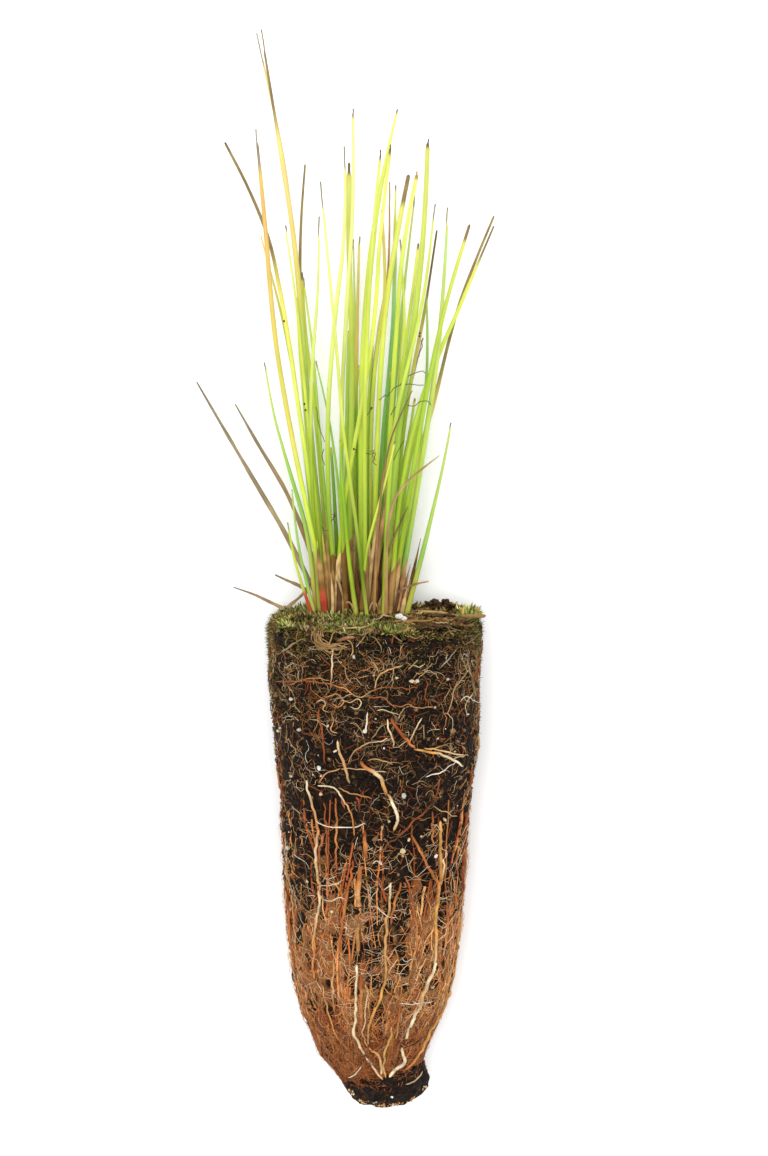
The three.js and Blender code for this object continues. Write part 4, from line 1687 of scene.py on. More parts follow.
def stem_look(colours: str, dry: str, form: str) -> StemLook:
    """A look from the words of a table, where a scheme's name may stand for colours."""
    name = colours.strip()
    return StemLook(Scheme[name].value if name in Scheme.__members__ else colours, dry, *floats_of(form))


def stem_looks(table: str) -> dict[int, StemLook]:
    """Reads looks by the number of the stem, each a row of colours, dry end and form."""
    return {int(number): stem_look(*look) for number, *look in rows_of(table)}


@dataclass(frozen=True)
class InnerStem:
    """A stem that stands behind the others: its look, picture points, thickness, and z at foot and tip."""

    look: StemLook
    points: Array
    thick: float
    low: float
    high: float


def inner_stems(table: str) -> tuple[InnerStem, ...]:
    """Reads the stems that stand behind the others.

    Args:
        table: a row for each, of its sizes, the three columns of its look, and its picture points.

    Returns:
        The stems in order.
    """
    return tuple(
        InnerStem(stem_look(*look), points_of(points), *floats_of(sizes))
        for sizes, *look, points in rows_of(table)
    )


@dataclass
class StemClump:
    """The living stems."""

    finish: StemFinish = StemFinish("stem_skin")
    sink: float = 2.2
    stations: tuple[int, int] = (40, 24)
    tip_zone: float = 9.0
    thinnest: float = 0.18
    groups: tuple[tuple[str, str, tuple[int, ...]], ...] = (
        ("stems_yellow", "stem_yellow", (1, 2, 4, 5, 6, 12, 18, 19, 22, 30, 32, 36)),
        ("stems_orange", "stem_orange", (3, 14)),
        ("stems_lime", "stem_lime", (7, 8, 9, 11, 13, 17, 23, 25, 26, 27)),
        ("stems_green", "stem_green", (10, 15, 16, 24, 29, 33, 35, 37, 38, 39, 40, 41)),
        ("stems_teal", "stem_teal", (21,)),
        ("stems_browned", "dead_brown", (20, 28, 31, 34)),
    )
    inner: tuple[InnerStem, ...] = inner_stems("""
        1.2 -13 -16 | YELLOW | 2 DRY_TIP | 0 | 333,604 327.5,552 323,500 319,450 313.5,395 308.5,360 304.5,320
            302,272;
        1.1 -15 -18 | LIME | 2 DRY_TIP | 2 | 325,604 317,530 311,470 306,420 302.5,380 299.5,345 297,292;
        1.3 -12 -12 | VIVID | 1 GOLD | 0 | 341,604 338,560 336,530 334,490 331,447;
        1.3 -9 -10 | VIVID | 1 GOLD | 0 | 346,604 346.5,520 347,445 347.5,380 349,330;
        1.1 -14 -16 | VIVID | 1 GOLD | 0 | 368,604 368,535 368,430 369.5,390 373,345;
        1.2 -4 1 | YELLOW | 1.5 DRY_TIP | 0 | 386,604 389,500 394,440 399,400 404,358 408.5,324 414,283
            418.5,243;
        0.9 -15 -17 | LIME | 1.5 DRY_TIP | 0 | 387,604 390,500 394,443 397,423 399,380 401.7,338 403.5,300;
        1.1 -15 -16 | VIVID | 1 GOLD | 0 | 380,604 382,520 385,463 387.5,412 391,370;
        1.2 -12 -12 | GREEN | 1 SHEATH | 0 | 390,604 393,550 398,500 403,467 411,425 415,398;
        0.9 -9 -10 | LIME | 1.5 SHEATH | 2 | 393,604 398,538 402,517 407.5,477 417.5,427 424,393;
        1.1 -14 -17 | VIVID | 1 GOLD | 0 | 351,604 352,520 354,440 356,400 359,365;
        1.1 -8 -9 | VIVID | 1 GOLD | 0 | 375,604 376,520 377.5,450 381,390;
        1.1 -11 -12 | VIVID | 1 GOLD | 0 | 362,604 360.5,520 357.5,455 354,400;
    """)
    looks: dict[int, StemLook] = field(default_factory=lambda: stem_looks("""
        1 | GOLDEN | 25 DRY_OLIVE | 6 0.4 0.8 0.85 0.5;
        2 | GOLDEN | 9 DRY_TIP | 7 0.35 0.7 0.85 0.5;
        3 | 0 RED 5 RED 7 SHEATH 11 SHEATH 17 GRASS 32 GRASS 44 AMBER 95 AMBER | 10 DRY_TIP | 4 0.7 0.7;
        4 | 0 SHEATH 10 LEAF 34 GRASS 50 LEMON 76 BRIGHT 84 GOLD | 36 DRY_OLIVE | 0 0.62 0.8 1;
        5 | GOLDEN | 2 GOLD | 0 0.5;
        6 | YELLOW | 32 DRY_OLIVE | 0 0.55 0.8;
        7 | YELLOW | 1.5 DRY_TIP | 2 0.4;
        8 | LIME | 2.5 DRY_TIP | 3 0.5;
        9 | PALE | 5 DRY_TIP | 6 0.5;
        10 | 0 FOOT 10 DEEP 30 DEEP 44 GRASS 54 LEMON 100 PALE_LEMON | 7 DRY_TIP | 8;
        11 | PALE | 6 DRY_TIP | 7 0.5;
        12 | YELLOW | 3 DARK_TIP | 0 0.95 0.9 0.55;
        13 | PALE | 2.2 DRY_TIP | 1.2 0.7 1 0.65;
        14 | 0 SHEATH 16 LEAF 50 MEADOW 64 AMBER 80 GOLD 94 PALE_GOLD | 2 DRY_TIP | 2 0.5;
        15 | GREEN | 2.5 DRY_TIP | 2 0.5;
        16 | 0 FOOT 8 LEAF 40 MEADOW 66 LIME 100 LIME 120 LEMON | 1.2 DRY_TIP | 0 0.35;
        17 | LIME | 2.5 DARK_TIP | 1.2 0.75 1 0.65;
        18 | YELLOW | 2.5 DARK_TIP | 1 0.85 1 0.7;
        19 | 0 SHEATH 12 LEAF 44 MEADOW 66 SUN 88 GOLD | 1.6 DARK_TIP | 0 0.8 1 0.7;
        20 | BROWN | 26 SHEATH | 6;
        21 | 0 LEAF 18 LEAF 36 FRESH 50 TEAL 74 TEAL 88 SPRING 97 LIME | 1.4 DRY_TIP | 10 0.7 1 0.85 0.5;
        22 | YELLOW | 8 DRY_OLIVE | 0 0.95 0.7 0.95;
        23 | LIME | 2 SHEATH | 1 0.9 1 0.9;
        24 | GREEN | 3 DRY_TIP | 3 0.4;
        25 | LIME | 4 DRY_TIP | 4 0.45;
        26 | 0 FOOT 12 GRASS 30 GRASS 54 MEADOW 78 LIME 110 LEMON | 2.2 DARK_TIP | 1.2 0.75 1 0.7;
        27 | LIME | 4 DRY_TIP | 4 0.4;
        28 | 0 SHEATH 14 LEAF 52 GRASS 60 GOLD 68 AMBER 74 DRY_OLIVE | 18 DARK_TIP | 0 0.6 0.8;
        29 | 0 FOOT 7 FOOT 14 FRESH 40 FRESH 60 SPRING 90 SPRING | 4 DRY_TIP | 5 0.4;
        30 | YELLOW | 4.5 DRY_OLIVE | 0 0.75 0.8;
        31 | 0 SHEATH 12 LEAF 34 GRASS 42 SUN 48 AMBER | 48 DRY_OLIVE | 0 0.6 0.8;
        32 | YELLOW | 10 DRY_OLIVE | 0 0.5 0.7;
        33 | GREEN | 1.5 SPRING | 0;
        34 | BROWN | 12 DRY_TIP | 2 0.5 0.7;
        35 | 0 FOOT 9 FOOT 16 FRESH 44 SPRING | 1.5 DRY_TIP | 1.5 0.4;
        36 | 0 FOOT 16 LEAF 45 GOLD | 1 DRY_TIP | 0 0.7;
        37 | 0 SHEATH 8 FOOT 30 FRESH 60 LEMON | 2 DRY_TIP | 2 0.4;
        38 | 0 FOOT 8 FRESH 30 SPRING | 1 SPRING | 1 0.4;
        39 | 0 RED 5 RED 6.5 FOOT 20 GRASS | 2 DRY_TIP | 2.5 0.5;
        40 | GREEN | 2 DRY_TIP | 1 0.5;
        41 | GREEN | 1 GRASS | 1 0.5;
    """))

    def stem(self, number: int) -> Sweep:
        """Shapes and colours one stem from its CAD tube.

        Args:
            number: of the stem's node.

        Returns:
            The sweep.
        """
        cad = Centreline.of(f"stem_{number:02d}")
        return self.shape(through(cad.line, 300), cad.radius_at, self.looks[number], number)

    def shape(self, fine: Array, radius_at: Callable, look: StemLook, number: int) -> Sweep:
        """Shapes and colours a stem along a line.

        Args:
            fine: its middle line in small steps, from the foot.
            radius_at: gives its radius at shares from 0 to 1 of its length.
            look: its colours and its end.
            number: picks its unevenness.

        Returns:
            The sweep.
        """
        run = run_along(fine)
        whole = run[-1]
        tip = whole - min(self.tip_zone, 0.4 * whole)
        low, high = self.stations
        gone = np.concatenate([np.linspace(0, tip, low), np.linspace(tip, whole, high)[1:]])
        line = read_off(gone, run, fine)
        left = whole - gone
        uneven = 0.95 + 0.1 * lumps_along(gone, 9.0, number)
        radius = radius_at(np.minimum(gone / whole, 0.88)) * uneven
        (length,), (dry_tint,) = steps_of(look.dry)
        dried = 1 - smoothstep(length * 0.8, length * 1.1 + 0.2, left)
        wispy = 1 - smoothstep(look.wisp * 0.7, look.wisp + 0.3, left) if look.wisp else 0 * left
        blunt = 0.5 + 0.5 * np.sqrt(np.clip(left / 0.7, 0, 1))
        tapered = 1 - (1 - look.slim) * np.clip(1 - left / max(38, 1.2 * length), 0, 1)
        neck = 1 - (1 - look.neck) * dried
        radius = np.maximum(radius * tapered * neck * (1 - look.thinned * wispy) * blunt, self.thinnest)
        if look.wisp:
            sway = np.sin(left / max(look.wisp, 1) * 1.6 + number) * wispy * 0.14
            line = line + np.c_[sway, 0 * sway, 0 * sway]
        heights, tints = steps_of(look.colours)
        colour = read_off(gone, heights, tints)
        amber = smoothstep(0, 1, 1 - np.abs(left - length * 1.25) / (0.5 * length + 1.2))
        colour = colour * (1 - 0.4 * amber[:, None]) + Tint.GOLD.rgb * 0.4 * amber[:, None]
        darker = np.where(left < 0.6, 0.7, 1.0)[:, None]
        patchy = (0.75 + 0.5 * lumps_along(gone, 1.6, 40 + number))[:, None]
        colour = toward(colour, dry_tint * patchy * darker, dried[:, None])
        rng = default_rng(900 + number)
        other = drawn(rng, "VIVID SUN FRESH LIME", 1)
        green = (1 - dried) * smoothstep(12, 26, gone) * (1 - smoothstep(60, 100, gone))
        mixed = (rng.uniform(0.15, 0.65) * green)[:, None]
        clouded = 1.0 + 0.28 * lumps_along(gone, 13.0, 70 + number)
        colour = toward(colour, other, mixed) * clouded[:, None] * rng.uniform(0.92, 1.08)
        foot = line[0] - self.sink * unit(line[1] - line[0])
        end = line[-1] - 0.1 * unit(line[-1] - line[-2])
        line = np.vstack([foot, line[:-1], end, line[-1]])
        wide = 2 * np.concatenate([[0.01], radius, [0.01]])
        colour = np.vstack([colour[:1], colour, colour[-1:]])
        flatness = 1 - (1 - look.flat) * np.concatenate([[0], dried, [1]])
        twist = 1.5 * (1 - look.flat)
        return Sweep(line, wide, wide * flatness, colour, twist=twist, seed=number, ridges=0.03)

    def inner_stem(self, stem: InnerStem, number: int) -> Sweep:
        """Shapes and colours one of the stems behind the others.

        Args:
            stem: where it runs.
            number: picks its unevenness.

        Returns:
            The sweep.
        """
        line = hung_line(stem.points, stem.low, stem.high)
        return self.shape(line, lambda t: stem.thick / 2 * (1.05 - 0.15 * t), stem.look, number)

    def build(self) -> None:
        """Makes the stems, one piece for each colour."""
        material = self.finish.build()
        for name, slot, numbers in self.groups:
            bm = new_bmesh()
            for number in numbers:
                self.stem(number).onto(bm)
            nodes = tuple(f"stem_{number:02d}" for number in numbers)
            finish_bmesh(bm, name, material, nodes)
        bm = new_bmesh()
        for number, stem in enumerate(self.inner):
            self.inner_stem(stem, 50 + number).onto(bm)
        finish_bmesh(bm, "stems_inner", material)


@dataclass
class DeadBlades:
    """Dry blades that lean out of the clump, and dry pieces at its foot.

    Each has its width, as a share of its CAD tube's, and the tints of its two ends.
    """

    finish: DryFinish = DryFinish("dry_blade")
    stations: int = 44
    blades: str = """
        1.3 STRAW DRY_TIP; 1.35 SHEATH DRY_TIP; 0.8 SHEATH STRAW; 0.65 SHEATH TWIG; 0.75 SHEATH TWIG;
    """
    litter: str = "1.1 TWIG STRAW; 1 STRAW TWIG; 1 STRAW TWIG; 0.9 TWIG SHEATH; 1.1 SHEATH SHEATH_PALE;"

    def strip(self, node: str, wide: float, tints: str) -> Sweep:
        """A dry flattened blade along a CAD tube.

        Args:
            node: the tube.
            wide: width as a share of the tube's.
            tints: names of those at its two ends.

        Returns:
            The sweep.
        """
        cad = Centreline.of(node)
        line = through(cad.line, self.stations)
        t = np.linspace(0, 1, self.stations)
        seed = sum(map(ord, node))
        edge = 0.85 + 0.3 * lumps_along(t * 40, 3.0, seed)
        radius = cad.radius_at(t) * wide * edge
        colour = toward(*palette(tints), t[:, None])
        colour = colour * (0.75 + 0.5 * lumps_along(t * 50, 4.0, seed + 1))[:, None]
        line = np.vstack([line[:-1], line[-1] - 0.1 * unit(line[-1] - line[-2]), line[-1]])
        width = 2 * np.append(radius, 0.01)
        width[0] = 0.01
        colour = np.vstack([colour, colour[-1:]])
        return Sweep(line, width, width * 0.5, colour, sides=10, twist=1.2, seed=seed % 40, ridges=0.1)

    def build(self) -> None:
        """Makes the blades and the litter."""
        material = self.finish.build()
        blades = ("dead_blade", "dead_blades", "dead_brown", self.blades)
        litter = ("litter", "litter", "dead_straw", self.litter)
        for kind, name, slot, table in (blades, litter):
            bm = new_bmesh()
            nodes = []
            for number, (row,) in enumerate(rows_of(table)):
                wide, tints = row.split(maxsplit=1)
                nodes.append(f"{kind}_{number + 1:02d}")
                self.strip(nodes[-1], float(wide), tints).onto(bm)
            finish_bmesh(bm, name, material, tuple(nodes))


@dataclass
class Sheaths:
    """The brown papery sheaths at the feet of the stems, and the heights of those around stems."""

    finish: DryFinish = DryFinish("sheath_skin")
    loose: int = 74
    stations: int = 22
    strips: tuple[Traced, ...] = traced("""
        1.75 4.5 | RED RED RED SHEATH_DARK SHEATH SHEATH OLIVE GRASS | 326,619 324.5,609 323.2,598 322,586
            320.5,572 319,558 317,540;
        1 1 | SHEATH SHEATH GOLD | 329,612 327.5,590 325,560 322,532;
        1.3 1.5 | SHEATH_DARK SHEATH | 335,612 334.5,595 333,575 332,558;
        1.4 3 | SHEATH SHEATH_PALE SHEATH | 336,613 337,595 338.5,575 339,554;
        1.05 2 | SHEATH_DARK SHEATH_PALE | 344,612 344.5,590 344,560 343,529;
        1.1 | BARK SHEATH_DARK | 350,612 350.5,590 352,560;
        1.2 1 | SHEATH_DARK BARK | 360,612 360,600 357,585 356,568;
        1.3 1 | SHEATH SHEATH_PALE | 367.5,612 368,585 369.5,560 370,538;
        1.5 2 | SHEATH_DARK SHEATH | 374,613 375,590 376,555 378,518;
        1.1 3 | SHEATH_PINK SHEATH_PALE | 383,613 383.5,600 385,584;
        1.25 2.6 | SHEATH_DARK SHEATH SHEATH_PINK SHEATH | 372,613 375,584 380,540 385,505 387,478;
        0.9 3.2 | SHEATH_DARK SHEATH_PALE STRAW | 368,612 369.5,586 373,551 377,522 381,503;
        0.8 1.5 | SHEATH_DARK DRY_OLIVE DRY_OLIVE | 353,612 353.8,570 354.6,540 356,512 357,492;
        1 0.5 | SHEATH SHEATH_PINK STRAW | 389,612 391,560 394,532 399,500;
        0.8 1.2 | SHEATH_DARK SHEATH DRY_OLIVE | 331,612 329,570 326,535 323,500;
        1.3 2 | SHEATH SHEATH_PALE | 387,612 388.5,598 391,575 392,553;
        1.6 3 | SHEATH_DARK SHEATH_PALE SHEATH | 393,612 394,598 397,578 400.5,556;
        1.3 3.5 | SHEATH SHEATH_PINK | 397,612 398,602 403,580 407.5,557;
        0.5 6 | SHEATH STRAW | 345,603 349,602 352.5,606 354,613;
        0.45 6.5 | STRAW STRAW | 369,611 372,603 376,603 378,611;
    """)
    sleeves: dict[int, float] = field(default_factory=lambda: {
        1: 10, 2: 8, 5: 8, 6: 10, 7: 9, 8: 7, 11: 13, 12: 17, 13: 17, 14: 15, 15: 9, 16: 8, 17: 11,
        18: 14, 19: 12, 20: 16, 22: 15, 23: 12, 24: 9, 25: 9, 28: 14, 30: 10, 31: 12, 32: 12, 33: 9,
        34: 12, 36: 10,
    })

    def hand_strip(self, sheath: Traced, number: int) -> Sweep:
        """Shapes one traced sheath.

        Args:
            sheath: its place and size.
            number: picks its unevenness.

        Returns:
            The sweep.
        """
        line = hung_line(sheath.points, sheath.lift, sheath.lift, 0.5)
        t = np.linspace(0, 1, len(line))
        edge = 0.85 + 0.3 * lumps_along(t * 30, 3.0, number)
        wide = sheath.thick * edge * (1 - 0.85 * smoothstep(0.55, 1, t))
        wide[0] = wide[-1] = 0.02
        tints = blend(t, sheath.tints) * (0.75 + 0.65 * lumps_along(t * 30, 2.0, 20 + number))[:, None]
        return Sweep(line, wide, wide * 0.45, tints, sides=10, twist=0.5, seed=number, ridges=0.1)

    def sleeve(self, number: int, tall: float) -> Sweep:
        """Shapes the sheath around one stem, torn off slantwise at its top.

        Args:
            number: of the stem's node.
            tall: how far up it reaches.

        Returns:
            The sweep.
        """
        cad = Centreline.of(f"stem_{number:02d}")
        fine = through(cad.line, 300)
        run = run_along(fine)
        gone = np.linspace(0, tall, self.stations)
        line = read_off(gone, run, fine)
        rng = default_rng(700 + number)
        radius = cad.radius_at(gone / run[-1]) + 0.12 + 0.12 * lumps_along(gone, 2.5, number)
        radius[0], radius[-1] = 0.01, 0.25 * radius[-2]
        line = np.vstack([line, line[-1]])
        radius = np.append(radius, 0.01)
        shade = drawn(rng, "SHEATH SHEATH_DARK SHEATH_PALE SHEATH", 1)
        tone = 0.72 + 0.65 * lumps_along(np.append(gone, tall), 1.8, 90 + number)
        line[:, 1] += 0.002 * np.arange(len(line))
        colour = shade * tone[:, None]
        return Sweep(line, 2 * radius, 2 * radius, colour, seed=number, ridges=0.06, slant=1.6)

    def loose_strips(self) -> Joined:
        """Papery strips that stand among the feet of the stems."""
        rng = default_rng(57)
        count = self.loose
        stations = 10
        x = rng.uniform(-12.8, 7.5, count)
        z = rng.uniform(-14, 5, count)
        tall = rng.uniform(6, 20, count) * (0.65 + 0.35 * rng.uniform(0, 1, count))
        lean = (x + 4) / 62 + rng.normal(0, 0.06, count)
        t = np.linspace(0, 1, stations)
        bow = rng.normal(0, 0.5, count)[:, None] * np.sin(math.pi * t)[None]
        lines = np.stack([
            x[:, None] + lean[:, None] * tall[:, None] * t + bow,
            -1.5 + (tall[:, None] + 1.5) * t,
            z[:, None] + (0.03 * z)[:, None] * t * tall[:, None] * 0.3,
        ], axis=-1)
        wide = rng.uniform(0.35, 0.8, count)[:, None] * (1 - 0.85 * smoothstep(0.5, 1, t))[None]
        tints = drawn(rng, "SHEATH SHEATH_DARK SHEATH_PALE SHEATH BARK SHEATH_PINK", count)[:, None]
        tints = tints * rng.uniform(0.6, 1.15, (count, stations, 1))
        joined = Joined()
        turned = np.stack([rng.normal(0, 0.5, count), 0 * x, 1 + 0 * x], axis=-1)
        joined.strands(lines, wide, np.repeat(turned[:, None], stations, axis=1), tints, 6, 0.35)
        return joined

    def build(self) -> None:
        """Makes the sheaths."""
        bm = new_bmesh()
        for number, sheath in enumerate(self.strips):
            self.hand_strip(sheath, number).onto(bm)
        for number, tall in self.sleeves.items():
            self.sleeve(number, tall).onto(bm)
        finish_bmesh(bm, "sheaths", self.finish.build())
        self.loose_strips().finish("sheath_strips", "dead_brown", MattFinish("sheath_paper", 0.8).build())


@dataclass
class DarkHairs:
    """Fine dark hairs and dry knots caught between the stems, by picture points."""

    finish: MattFinish = MattFinish("dark_hair", 0.7)
    depth: float = 9.0
    grey: int = 8
    hairs: str = """
        408.7,376 415,373 422.5,371 425,373;
        391,392.5 394,388 400,385 403,380;
        400,385 410,384 417,385 424,385;
        379,400 382,398 385,395;
        385,395 388,396 390,392;
        391,415 394,409 397.5,406;
        407.5,405 412,406 416,405.5 419,402 427.5,401 431,405;
        367.5,415 370,411 372.5,407;
        316,407 317.5,412 317.5,420;
        318,420 321,432 325,442;
        324,449 322,457 325,465;
        421,340 422.5,346 420,352 419,357;
        370,452 374,450 373,456 376,460;
        366,453 371,454 376,453 373,462 377,465;
        354,449 357,450 356,453;
        332,514 336,516 333,519 336,523;
        335,512 334,518 331,521;
        322,527 325,531 328,530;
        352.5,540 353,545 351,549 354.5,551;
        394,460 398,451 404,441;
    """
    knots: str = "304.5,404 305.5,410 419.8,333 419.5,336 371.5,408 334,517 354,449 284,321"

    def build(self) -> None:
        """Makes the hairs and the knots."""
        stations = 14
        flat = [through(points_of(hair), stations) for hair, in rows_of(self.hairs)]
        hairs = len(flat)
        for x, y in points_of(self.knots):
            flat.append(np.array([(x, y - 1.2 + 2.4 * k / (stations - 1)) for k in range(stations)]))
        lines = np.array([[SIGHT.hang(*p, self.depth) for p in hair] for hair in flat])
        radii = np.full(lines.shape[:2], 0.1)
        bulge = np.sin(math.pi * np.linspace(0.08, 0.92, stations))
        radii[self.grey:] = 0.08
        radii[hairs:] = 0.3 * bulge
        joined = Joined()
        tints = np.broadcast_to(Tint.GREY_HAIR.rgb * 0.8, lines.shape).copy()
        tints[self.grey:] = Tint.UMBER.rgb
        tints[hairs:] = Tint.SHEATH_DARK.rgb * 0.6
        joined.strands(lines, radii, np.broadcast_to([0.0, 0.0, 1.0], lines.shape), tints, 4)
        joined.finish("dark_hairs", "dead_brown", self.finish.build())


@dataclass
class RimLitter:
    """Dry strands and woody bits along the rim, and a crumb of bark behind them."""

    crumbs: Crumbs
    finish: DryFinish = DryFinish("rim_litter")
    bits: int = 70
    bark_bits: int = 150
    fibres: int = 20
    strands: tuple[Traced, ...] = traced("""
        0.55 2.6 | STRAW SHEATH_PALE PALE STRAW | 328,624 335,624 345,628 361,628 371,624 379,617 391,615
            407,613.6 417,611.6;
        0.45 0.3 | SHEATH TAN | 322,629 321,635 325,638;
        0.3 1 | STRAW SHEATH | 315,626 319,621 326,619 334,622;
        0.3 0.7 | TAN SHEATH | 333,650 329,643 333,634 341,629 350,627;
        0.3 0.7 | SHEATH STRAW | 324,633 330,630 338,632 348,634 357,633;
        1 0.5 0.35 | ROOT_BROWN SHEATH_PINK ROOT_BROWN | 337,641 343,639 349,637.5 355,638.5;
        0.35 0.5 | TAN SHEATH_PALE | 345,640 351,643 353,650 351,656;
        0.3 0.6 | SHEATH STRAW | 355,634 366,634 374,630;
        0.25 0.5 | SHEATH OLIVE | 296,622 299,632 296,641 302,648;
        0.25 0.5 | OLIVE STRAW | 284,626 288,636 285,648;
        0.9 0.6 0.4 | SHEATH TAN SHEATH_PALE | 396,632 405,631 415,628 424,626 433,624;
        0.3 0.5 | STRAW STRAW | 372,636 379,643 382,652;
        0.28 0.4 | STRAW TAN | 400,655 401,649 404,644;
        0.32 0.5 | TAN SHEATH | 408,634 413,638 421,637;
        0.32 0.5 | TAN SHEATH_PALE | 441,627 448,628 453,637;
        0.3 0.5 | SHEATH OLIVE | 462,640 466,645 475,637 481,633;
        0.5 1.4 0.6 | SHEATH STRAW | 284,609 285.5,613 286,619;
        0.45 1.5 0.6 | SHEATH STRAW | 287,619 300,616 313,614 322,611;
        0.35 0.5 | OLIVE STRAW | 440,640 446,633 457,630;
    """)

    def bundle(self) -> BMesh:
        """The frayed bundle of pale fibres that hooks down over the rim."""
        rng = default_rng(85)
        spine = points_of("326,622 316,627 311.5,636 315,644 324,649 334,649.5 344,645")
        shades = "STRAW SHEATH TAN SHEATH SHEATH_PALE".split()
        fibres = []
        for _ in range(self.fibres):
            first, last = rng.integers(0, 4), rng.integers(4, 8)
            last = max(last, first + 3)
            shift = rng.normal(0, 1.5, 2) + np.array([3.0, -1.6]) * rng.uniform(0, 3.0)
            points = spine[first:last] + shift + rng.normal(0, 1.5, (min(last, len(spine)) - first, 2))
            tints = f"{shades[rng.integers(0, len(shades))]} {shades[rng.integers(0, len(shades))]}"
            fibres.append(Traced(tints, points, rng.uniform(0.2, 0.38), rng.uniform(0.2, 1.4), wobble=1.3))
        return laid_roots(tuple(fibres), 6)

    def woody_bits(self) -> Joined:
        """Flat dry bits strewn over the bare right part of the crown."""
        rng = default_rng(83)
        tree = SIGHT.tree
        count, stations = self.bits, 8
        above, crown = 20, -1.0
        x, z = rng.uniform(4, 26.5, count), rng.uniform(-10, 26, count)
        turn = rng.normal(0, 0.6, count)
        long = rng.uniform(1.5, 7.5, count)
        t = np.linspace(-0.5, 0.5, stations)
        lines = np.zeros((count, stations, 3))
        for k in range(count):
            for i, share in enumerate(t):
                px = x[k] + math.cos(turn[k]) * long[k] * share
                pz = z[k] + math.sin(turn[k]) * long[k] * share
                place, _, _, _ = tree.ray_cast(Vector((px, above, pz)), Vector((0, -1, 0)))
                low = crown if place is None else max(place.y, crown)
                lines[k, i] = (px, low + 0.35, pz)
        lines[:, 1:-1] = (lines[:, :-2] + 2 * lines[:, 1:-1] + lines[:, 2:]) / 4
        lines[:, :, 1] += rng.uniform(0, 0.7, (count, 1)) + rng.normal(0, 0.2, (count, stations))
        lines = lines[(lines[..., 0].max(axis=1) < 25) & (lines[..., 2].max(axis=1) < 25)]
        count = len(lines)
        wide = rng.uniform(0.2, 0.75, count)[:, None] * np.ones(stations)
        tints = drawn(rng, "SHEATH SHEATH_DARK ROOT_BROWN BARK SHEATH_PALE UMBER", count)[:, None]
        tints = tints * rng.uniform(0.5, 1.1, (count, stations, 1))
        joined = Joined()
        joined.strands(lines, wide, np.broadcast_to([0.0, 1.0, 0.0], lines.shape), tints, 6, 0.4)
        return joined

    def bark_crumb(self) -> Joined:
        """A heap of dark crumbs near the back of the rim."""
        rng = default_rng(84)
        count = self.bark_bits
        way = unit(rng.normal(size=(count, 3)))
        reach = rng.uniform(0, 1, (count, 1)) ** 0.4
        places = np.array([16.0, 0.5, -8.0]) + way * reach * np.array([4.2, 1.3, 3.4])
        tints = drawn(rng, "SOIL PEAT BARK UMBER", count) * rng.uniform(0.5, 1.1, (count, 1))
        joined = Joined()
        self.crumbs.scatter(joined, places, rng.uniform(0.25, 0.7, count), tints, 85)
        return joined

    def build(self) -> None:
        """Makes the litter of the rim."""
        material = self.finish.build()
        finish_bmesh(laid_roots(self.strands, 5), "rim_strands", material)
        finish_bmesh(self.bundle(), "rim_bundle", material)
        self.woody_bits().finish("rim_bits", "dead_straw", MattFinish("woody_bit", 0.8).build())
        self.bark_crumb().finish("bark_crumb", "soil", MattFinish("bark_crumb", 0.9).build())


